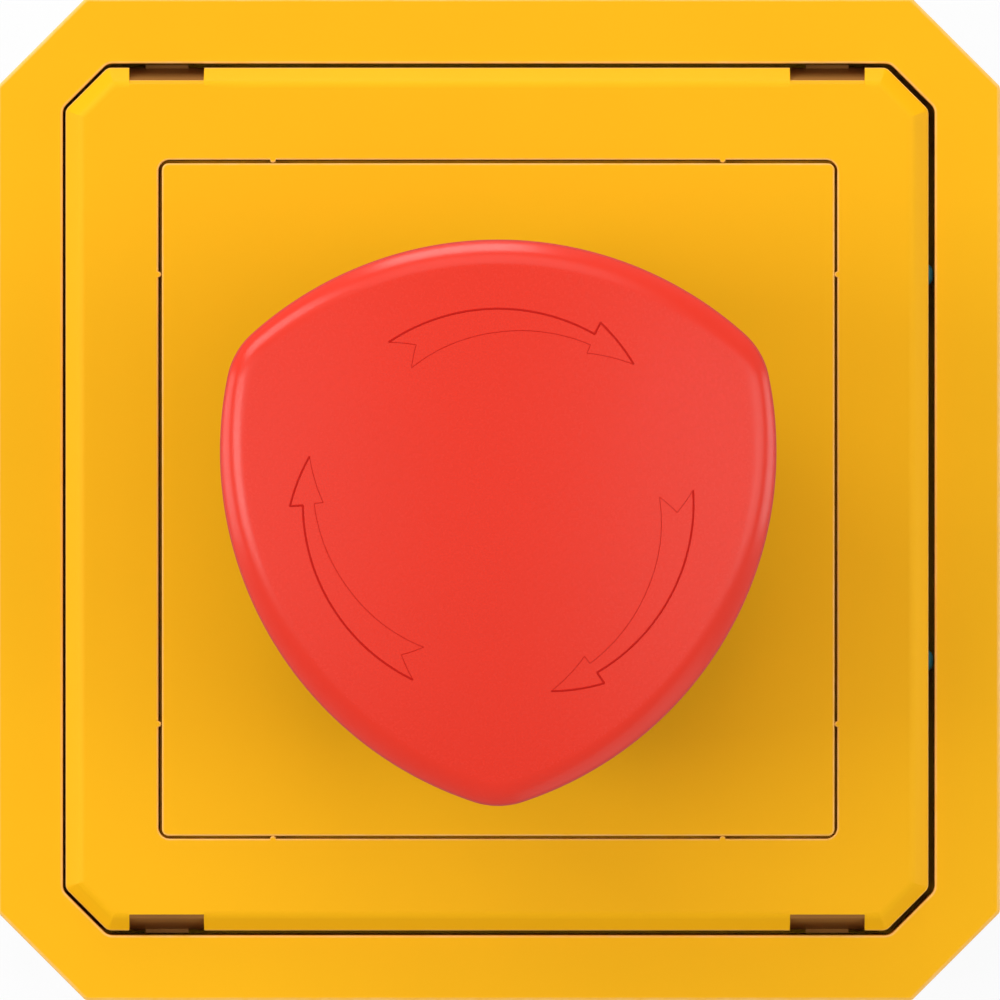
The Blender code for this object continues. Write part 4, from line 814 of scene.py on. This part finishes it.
def carrier_part(size):
    """The carrier: one profile round its window, changed at notches, tongues and nubs."""
    half, low, face = CARRIER_HALF, CARRIER_LOW.z, CARRIER_HIGH.z
    stops = carrier_stops(size)
    outer = CutSquare(half, size.cut, size.corner, stops)
    module = CutSquare.rounded(size.module, size.module_corner, stops)

    recess = face - size.tab_drop + CLEARANCE
    inside = half - size.tab_depth - CLEARANCE

    def levels(*changed):
        return profile(carrier_corners(size, outer, module, *changed))
    plain, recessed = (levels([(foot, low), (foot, recess - HOLD), (half, recess),
                               (half, face - 1.25 * size.bevel), (half, face - size.bevel)])
                       for foot in (half, inside))
    near = half - size.notch_depth
    foot = face - size.notch_drop
    brink = face - size.notch_edge
    lip = near + size.notch_edge
    ramp = (half + lip) / 2, (foot + brink) / 2
    notch = levels([(half, low), (half, low + HOLD), (half, foot), ramp, (lip, brink)],
                   (near, face), HOLD)
    reach = half + size.tongue_reach
    tongue_top = face - size.tongue_drop
    meet = lip + (half - lip) * (brink - tongue_top) / (brink - foot)
    tongue = levels([(half, low), (reach, low), (reach, tongue_top), (meet, tongue_top),
                     (lip, brink)], (near, face), HOLD)
    sides, along = outer.places()
    upright = (sides == 1) | (sides == 3)
    notches = upright * within(np.abs(along), size.notch_at, size.notch_width)
    tongues = upright * within(np.abs(along), size.notch_at, size.tongue_width)
    wide = size.tab_width + 2 * CLEARANCE
    tabs = (sides == 0) * sum(within(along, at, wide) for at in (size.tab_up, size.tab_down))
    stack, worn_and_lit, closed = part(plain, centre=CARRIER_CENTRE + size.play_right, changes=(
        (notch, notches), (tongue, tongues), (recessed, tabs)))
    out, height = np.array([level[:2] for level in plain]).T
    on_module = np.array([outline is module for *_, outline in plain])
    nubs = np.sqrt(np.clip(1 - ((np.abs(along) - size.nub_at) / size.nub) ** 2, 0, 1))
    raised = on_module & (height > face - size.nub_height - HOLD / 2)
    outward = np.array([(1, 0, 0), (0, 1, 0), (-1, 0, 0), (0, -1, 0), (0, 0, 0)])[sides]
    stack -= size.nub * raised[:, None, None] * nubs[None, :, None] * outward
    stack[..., 1] += size.play_up
    stack[on_module, :, 0] += size.module_right
    # No edge weight, so no painted highlight, on the rounding where the bevel meets the face.
    crease = ((np.abs(out - half + size.bevel) < 0.75 * size.bevel)
              & (height > face - 0.6 * size.bevel))
    # Painted shade in the pry notches: their ramps are darkened, and the upper notches, which
    # face the light, keep little of it near the face.
    ramp_rows = (out > near) & (height > low + HOLD) & (height < face - HOLD)
    grime = ramp_rows[:, None] * notches[None]
    grime[np.ix_(height > face - size.bevel, sides == 1)] *= UPPER_NOTCH_SHADE_SHARE
    return (stack, np.where(crease, 0.0, worn_and_lit), closed), grime


TAB_FULL = (0.8, 0.7)           # powers of the cosine and sine that fill out a seal tab


def seal_parts(size):
    """The flat seal under the carrier and its two tabs with domed tops."""
    low, high = SEAL_LOW.z, CARRIER_LOW.z - CLEARANCE
    outer = CutSquare(CARRIER_HALF, size.cut, size.corner)
    inner = CutSquare.rounded(CARRIER_HALF - size.seal_width, size.module_corner)
    flat_seal = profile(on(outer, (outer.half, low, FINE), (outer.half, high, FINE))
                        + on(inner, (inner.half, high, FINE), (inner.half, low, FINE)))
    parts = [part(flat_seal, centre=CARRIER_CENTRE)]
    rise = np.linspace(0, pi / 2, 7)[1:]
    shrink = np.concatenate([[0, 1, 1], np.cos(rise)])
    top = CARRIER_HIGH.z - size.tab_drop
    heights = np.concatenate([[low, low, top - size.tab_dome],
                              top - size.tab_dome + size.tab_dome * np.sin(rise)])
    around = np.linspace(0, 2 * pi, 40, endpoint=False)
    reach = size.tab_depth + size.tab_reach
    start = CARRIER_HALF - size.tab_depth
    for at in (size.tab_up, size.tab_down):
        x = start + reach * np.clip(np.cos(around), 0, 1) ** TAB_FULL[0]
        y = (at + size.tab_width / 2 * np.sign(np.sin(around))
             * np.abs(np.sin(around)) ** TAB_FULL[1])
        middle = np.array([start + reach / 2, at])
        flat = middle + (np.column_stack([x, y]) - middle)[None] * shrink[:, None, None]
        stack = with_heights(flat, heights[:, None])
        stack[..., 0] += CARRIER_CENTRE
        parts.append((stack, np.zeros(len(heights)), False))
    return parts


class BUTTON_OT_carrier(Operator):
    """Build the bevelled carrier and its seal."""
    bl_idname = "button.carrier"
    bl_label = "Carrier"

    def execute(self, context):
        size = context.scene.button_carrier
        # The carrier comes with painted shade in its pry notches.
        stack, grime = carrier_part(size)
        piece("carrier", [stack], "enclosure", "yellow", ["mechanism_frame"], grime)
        piece("carrier_seal", seal_parts(size), "enclosure", "teal_seal", ["frame_gasket"])
        return {'FINISHED'}


def plate_part(size):
    """The module plate: a rounded square skirt whose face runs in to the round bore."""
    half = (PLATE_HIGH.x - PLATE_LOW.x) / 2 + size.grown
    low, face = PLATE_LOW.z, PLATE_HIGH.z
    under = face - size.skin
    stops = np.linspace(-18, 18, 13) * MM
    square = CutSquare.rounded(half, size.corner, stops)
    round_bore = Circle(square.ring(half))
    inner = half - size.wall
    step_z = face - size.step_drop
    return part(profile(
        on(square, (half + size.step, low, FINE), (half + size.step, step_z, 0),
           (half, step_z, 0), (half, face, size.edge))
        + on(round_bore, (size.bore, face, SOFT), (size.bore, under, 0))
        + on(square, (inner, under, 0), (inner, low, 0))
    ), centre=(PLATE_HIGH.x + PLATE_LOW.x) / 2 + size.right)


def nut_part(size):
    """The ring nut, its outer wall set back at six spanner notches."""
    low, high = RING_LOW.z, RING_HIGH.z
    outer = RING_HIGH.x
    circle = Circle.even(360)
    fine = 0.08 * MM

    def levels(reach):
        return profile(on(
            circle, (reach, low, FINE), (reach, high - size.nut_rim, fine),
            (min(reach, outer - size.nut_rim) - TINY, high, fine),
            (size.nut_inner, high, fine), (size.nut_inner, low, 0)))
    across = np.abs((np.mod(circle.angle + pi / 6, pi / 3) - pi / 6) * outer)
    return part(levels(outer), changes=[(levels(outer - size.nut_rim - CLEARANCE),
                                         (across < size.nut_notch / 2).astype(float))])


class BUTTON_OT_plate(Operator):
    """Build the module plate, the ring nut and the parts of the neck."""
    bl_idname = "button.plate"
    bl_label = "Plate and neck"

    def execute(self, context):
        size = context.scene.button_plate
        piece("module_plate", [plate_part(size)], "enclosure", "yellow", ["centre_plate"])
        piece("ring_nut", [nut_part(size)], "enclosure", "dark_grey", ["lock_ring"])
        softened("mechanism_housing", "guide_barrel", NECK_EDGE, "enclosure", "black")
        softened("head_core", "stem", NECK_EDGE, "head", "dark_grey")
        return {'FINISHED'}


class Head:
    """The head's surface: foot, leaning side, rounded edge and crown over a trefoil.

    The side leans out by the square of the way up. The edge turns in from the parting
    line by two arcs that touch. The crown is a paraboloid about the axis, so its edge is
    lower at the lobes than at the flats, and the arcs below it give way by the square of
    the way from the widest outline to the crown.
    """
    TURNS = radians(30), radians(40), radians(82)
    # Strength of the painted shade round the head's outline, at its parting line.
    OUTLINE_SHADE_SHARE = 0.4

    def __init__(self, size):
        self.size = size
        self.outline = Trefoil(size.reach, size.flat, size.lobe)
        self.rim = HEAD_LOW.z
        self.top = HEAD_HIGH.z
        self.inset, self.rise = self.arcs()
        self.wide = self.top - size.crown - self.rise[-1]
        self.edge_ring = self.outline.ring(size.reach - self.inset[-1])
        self.mean = np.linalg.norm(self.edge_ring, axis=1).mean()

    def arcs(self):
        """Inset and rise along the arc at the parting line and then the wide one."""
        inset, rise = np.zeros(1), np.zeros(1)
        for radius, start, end in zip((self.size.rim, self.size.edge), self.TURNS,
                                      self.TURNS[1:]):
            turn = np.linspace(start, end, 22)[1:]
            inset = np.append(inset, inset[-1] + radius * (cos(start) - np.cos(turn)))
            rise = np.append(rise, rise[-1] + radius * (np.sin(turn) - sin(start)))
        return inset, rise

    def height(self, x, y):
        """Height of the crown: its rise less the square of the distance from the axis."""
        return self.top - self.size.crown * (x ** 2 + y ** 2) / self.mean ** 2

    def stack(self):
        size = self.size
        turn = np.linspace(0, pi / 2, 7)
        way = np.linspace(0, 1, 15)[1:]
        inset = np.concatenate([size.draft + size.foot * (1 - np.sin(turn)),
                                size.draft * (1 - way) ** 2, self.inset[1:]])
        foot_z = self.rim + size.foot
        height = np.concatenate([self.rim + size.foot * (1 - np.cos(turn)),
                                 foot_z + way * (self.wide - foot_z),
                                 self.wide + self.rise[1:]])
        outside = rings(on(self.outline, *zip(size.reach - inset, height, 0 * height)))
        give = self.height(*self.edge_ring.T) - (self.top - size.crown)
        shift = np.clip((height - self.wide) / self.rise[-1], 0, 1) ** 2
        outside[..., 2] += shift[:, None] * give[None]
        share = np.concatenate([np.linspace(1, 0.9, 6)[1:], np.linspace(0.9, 0, 30)[1:]])
        crown = self.edge_ring[None] * share[:, None, None]
        crown = with_heights(crown, self.height(*np.moveaxis(crown, 2, 0)))
        circle = Circle(self.outline.ring(size.reach))
        hub = self.rim + size.hub_recess
        deep = self.rim + size.pocket_depth
        socket = hub + size.socket_depth
        below = rings(profile(on(
            circle, (0, socket, 0), (size.socket, socket, 0), (size.socket, hub, SOFT),
            (size.hub, hub, WIDE_EDGE), (size.hub, deep, POCKET_EDGE),
            (size.pocket, deep, POCKET_EDGE), (size.pocket, self.rim, WIDE_EDGE),
            (size.pocket + 0.4 * MM, self.rim, 0)), closed=False))
        stack = np.concatenate([below, outside, crown])
        last = len(below) + len(outside)
        # Edge weight on the rim's arcs, for their rubbing and painted highlight.
        edge = np.zeros(len(stack))
        rows = len(self.inset) - 1
        edge[last - rows:last] = np.sin(np.linspace(0, pi, rows))
        # Painted shade along the parting line, at the head's outline.
        from_seam = np.where(height > self.wide, inset, self.wide - height)
        seam = np.clip(1.2 - from_seam / size.seam, 0, 1)
        grime = np.zeros(stack.shape[:2])
        grime[len(below):last] = self.OUTLINE_SHADE_SHARE * seam[:, None]
        return (stack, edge, False), grime


# Corners of one turn arrow: degrees round the axis, and radius as a share of its outer line
ARROW_OUTER = ((124.1, 1.0), (60.4, 1.0), (60.6, 1.066), (45.8, 0.996))
ARROW_INNER = ((45.8, 0.996), (59.5, 0.896), (59.9, 0.942), (90.0, 0.880), (122.5, 0.826),
               (117.3, 0.917), (124.1, 1.0))
ARROW_TURNS = (0, -120, 120)
ARROW_FAINT = 0.4               # width of the inner line as a share of the outer one's
ARROW_RISE = 0.12               # height of a line's bead as a share of its width
ARROW_STEPS = 60                # steps between two corners


def arrow_line(head, corners, radius, width, first):
    """A shallow bead along a line of polar corners, laid on the crown.

    The line is followed by equal steps in angle and radius between its corners. Across it
    the bead is an arc, and its sides are sunk into the crown. The bead stands where an
    engraved groove would be, and its darker colour is painted shade of that groove.
    """
    angle, share = np.array(corners).T
    place = np.arange(len(angle))
    way = np.linspace(0, place[-1], ARROW_STEPS * place[-1] + 1)
    turn = np.radians(np.interp(way, place, angle) + first)
    path = arc(radius * np.interp(way, place, share), turn)
    ahead = np.gradient(path, axis=0)
    ahead /= np.linalg.norm(ahead, axis=1)[:, None]
    across = np.column_stack([-ahead[:, 1], ahead[:, 0]])
    bend = np.linspace(0, 2 * pi, 8, endpoint=False)
    flat = path[:, None] + across[:, None] * (width / 2 * np.cos(bend))[None, :, None]
    ground = head.height(flat[..., 0], flat[..., 1])
    stack = with_heights(flat, ground + ARROW_RISE * width * np.sin(bend)[None])
    caps = np.broadcast_to(stack.mean(axis=1, keepdims=True), stack.shape)
    stack = np.concatenate([caps[:1], stack, caps[-1:]])
    return stack, np.zeros(len(stack)), False


class BUTTON_OT_head(Operator):
    """Build the mushroom head and its three turn arrows."""
    bl_idname = "button.head"
    bl_label = "Head"

    def execute(self, context):
        size = context.scene.button_head
        head = Head(size)
        # The head's stack comes with its painted shade round the outline.
        stack, seam = head.stack()
        piece("mushroom_head", [stack], "head", "red", ["button_head"], seam)
        # Raised beads in a darker red: painted shade of engraved lines.
        lines = [arrow_line(head, corners, size.arrow, width, turn)
                 for corners, width in ((ARROW_OUTER, size.arrow_line),
                                        (ARROW_INNER, ARROW_FAINT * size.arrow_line))
                 for turn in ARROW_TURNS]
        piece("turn_arrows", lines, "head", "red", finish="arrow")
        return {'FINISHED'}


# Rings that are cut to fit a cable, and the ridge round them: shares of the neck's radius
CUT_RINGS = (0.14, 0.26, 0.38)
RIDGE = (0.5, 0.56, 0.72, 0.8)
DISH = 0.45                     # radius of the dish inside, as a share as well


def grommet_part(size, low, high):
    """A cable membrane: rim, neck, inner rim and dished middle, turned towards +Y or -Y.

    The profile runs from the middle of its outer face to the middle of its inner face.
    """
    side = 1 if high.y > 0 else -1
    face = high.y if side > 0 else low.y
    back = low.y - high.y
    rim, neck, dish, fine = (high.x - low.x) / 2, size.neck, -size.dish, 0.15 * MM
    corners = [(0, dish)]
    for at in CUT_RINGS:
        corners += [(at * neck, dish), (at * neck + fine, dish - size.groove),
                    (at * neck + 2 * fine, dish)]
    corners += [(at * neck, share * dish) for at, share in zip(RIDGE, (1, 0.5, 0.5, 0))]
    corners = [(u, v, fine) for u, v in corners] + [
        (rim, 0, 0.25 * MM), (rim, -size.rim, FINE), (neck, -size.rim, 0),
        (neck, back + size.inner_rim, 0), (size.inner, back + size.inner_rim, fine),
        (size.inner - size.chamfer, back, fine), (neck - size.skin, back, fine),
        (RIDGE[3] * neck, -size.skin - 0.5 * MM, fine),
        (DISH * neck, dish - size.skin, fine), (0, dish - size.skin, 0)]
    levels = profile(on(Circle.even(160), *corners), closed=False)
    stack, edge, closed = part(levels, closed=False)
    x, y, z = np.moveaxis(stack, 2, 0)
    middle = (low.z + high.z) / 2
    return np.stack([x, face + side * z, middle - side * y], axis=2), edge, closed


class BUTTON_OT_grommets(Operator):
    """Build the membranes of the two cable entries."""
    bl_idname = "button.grommets"
    bl_label = "Cable membranes"

    def execute(self, context):
        size = context.scene.button_grommet
        for node in ("cable_grommet_top", "cable_grommet_bottom"):
            piece(f"{node}_membrane", [grommet_part(size, *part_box(node))], "enclosure",
                  "rubber", [node])
        return {'FINISHED'}


class BUTTON_OT_springs(Operator):
    """Make merged copies of the two return springs."""
    bl_idname = "button.springs"
    bl_label = "Springs"

    def execute(self, context):
        for node, joint in (("return_spring", "push_slide"),
                            ("carrier_spring", "contact_slide")):
            low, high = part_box(node)
            travel = next(j for j in frame["record"]["behaviour"]["joints"]
                          if j["name"] == joint)["range_m"][1]
            coil = merged(node, f"{node}_coil", "enclosure", "spring_steel")
            1 - travel / (high.z - low.z)
            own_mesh(coil)
        return {'FINISHED'}


class BUTTON_OT_fittings(Operator):
    """Give the frame's own parts their finishes."""
    bl_idname = "button.fittings"
    bl_label = "Fittings"

    def execute(self, context):
        finish = finishes()
        for key, starts in NODE_FINISHES.items():
            for start in starts:
                found = [thing for name, thing in NODES.items() if name.startswith(start)]
                if not found:
                    raise RuntimeError(f"no part of the frame is called {start}")
                for place in (place for thing in found for place in thing.material_slots):
                    place.material = finish[key]
        return {'FINISHED'}


def lamp(name, azimuth, elevation, side, watts, aim):
    """A square soft lamp that looks at a point."""
    light = bpy.data.lights.new(name, 'AREA')
    light.shape = 'SQUARE'
    light.size = side
    light.energy = watts
    thing = linked(name, light)
    level = cos(elevation)
    back = Vector((level * cos(azimuth), level * sin(azimuth), sin(elevation)))
    thing.location = aim + back * LAMP_DISTANCE
    thing.rotation_euler = (-back).to_track_quat('-Z', 'Y').to_euler()


FLOOR_HALF = 20.0
FLOOR_WHITE = 0.9               # share of pure white in what the camera sees of the floor
SENSOR = 36.0
WHITE = (1, 1, 1, 1)


def pale_floor():
    """A floor that looks white to the camera and in reflections, and keeps the shadow."""
    mesh = bpy.data.meshes.new("floor")
    mesh.from_pydata([(FLOOR_HALF * x, FLOOR_HALF * y, -TINY) for x, y in (
        (-1, -1), (1, -1), (1, 1), (-1, 1))], [], [(0, 1, 2, 3)])
    floor = Finish("floor_paper")
    fibre = floor.noise(3 * MM, 4, 0.6)
    tone = floor.mixed(fibre, (0.80, 0.80, 0.80, 1), (0.83, 0.83, 0.83, 1))
    paper = floor.node("ShaderNodeBsdfDiffuse", {}, {"Color": tone})
    glow = floor.node("ShaderNodeEmission", {}, {"Color": WHITE, "Strength": 1.0})
    white = FLOOR_WHITE * floor.seen_white()
    mixed = floor.node("ShaderNodeMixShader", {}, {0: white, 1: paper, 2: glow})
    floor.node("ShaderNodeOutputMaterial", {}, {"Surface": mixed})
    mesh.materials.append(floor.material)
    linked("floor", mesh)


class BUTTON_OT_stage(Operator):
    """Set up the pale floor, the soft light and the camera."""
    bl_idname = "button.stage"
    bl_label = "Stage"

    def execute(self, context):
        scene = context.scene
        studio = scene.button_studio
        pale_floor()
        aim = Vector((studio.aim_right, studio.aim_up, CASE_HIGH.z))
        for name, (azimuth, elevation, side, _) in LAMPS.items():
            lamp(f"lamp_{name}", radians(azimuth), radians(elevation), side,
                 getattr(studio, name), aim)
        world = bpy.data.worlds.new("studio")
        world.use_nodes = True
        sky = Nodes(world.node_tree)
        plain, white = (sky.node("ShaderNodeBackground", {}, {
            "Color": WHITE, "Strength": strength}) for strength in (studio.ambient, 1.0))
        seen = sky.seen_white()
        mixed = sky.node("ShaderNodeMixShader", {}, {0: seen, 1: plain, 2: white})
        sky.node("ShaderNodeOutputWorld", {}, {"Surface": mixed})
        scene.world = world
        scene.view_settings.view_transform = 'Standard'
        camera = bpy.data.cameras.new("camera")
        camera.sensor_width = SENSOR
        camera.lens = SENSOR * studio.distance / studio.view_width
        camera.clip_start = 0.05
        camera.clip_end = 100
        thing = linked("camera", camera)
        back = Vector((tan(studio.tilt_right), tan(studio.tilt_up), 1)).normalized()
        across = Vector((0, 1, 0)).cross(back).normalized()
        thing.matrix_world = Matrix.Translation(aim + back * studio.distance) @ Matrix(
            (across, back.cross(across), back)).transposed().to_4x4()
        scene.camera = thing
        return {'FINISHED'}


class BUTTON_PT_panel(Panel):
    """The steps in order, and the sizes a user may change."""
    bl_label = "Stop Button"
    bl_idname = "BUTTON_PT_panel"
    bl_space_type = 'VIEW_3D'
    bl_region_type = 'UI'
    bl_category = "Stop Button"

    def draw(self, context):
        for operator in STEPS:
            self.layout.operator(operator.bl_idname)
        for group in GROUPS:
            box = self.layout.box()
            settings = getattr(context.scene, group)
            for name in settings.__annotations__:
                box.prop(settings, name)


STEPS = (BUTTON_OT_case, BUTTON_OT_carrier, BUTTON_OT_plate, BUTTON_OT_head,
         BUTTON_OT_grommets, BUTTON_OT_springs, BUTTON_OT_fittings, BUTTON_OT_stage)
GROUPS = {
    "button_case": CaseSizes, "button_carrier": CarrierSizes, "button_plate": PlateSizes,
    "button_head": HeadSizes, "button_grommet": GrommetSizes, "button_colours": Colours,
    "button_studio": Studio,
}


def register():
    for name, group in GROUPS.items():
        bpy.utils.register_class(group)
        setattr(bpy.types.Scene, name, PointerProperty(type=group))
    for thing in (*STEPS, BUTTON_PT_panel):
        bpy.utils.register_class(thing)


def unregister():
    for thing in (BUTTON_PT_panel, *reversed(STEPS)):
        bpy.utils.unregister_class(thing)
    for name, group in GROUPS.items():
        delattr(bpy.types.Scene, name)
        bpy.utils.unregister_class(group)


def main():
    register()
    bpy.ops.button.case()
    bpy.ops.button.carrier()
    bpy.ops.button.plate()
    bpy.ops.button.head()
    bpy.ops.button.grommets()
    bpy.ops.button.springs()
    bpy.ops.button.fittings()
    bpy.ops.button.stage()


if __name__ == "__main__":
    main()
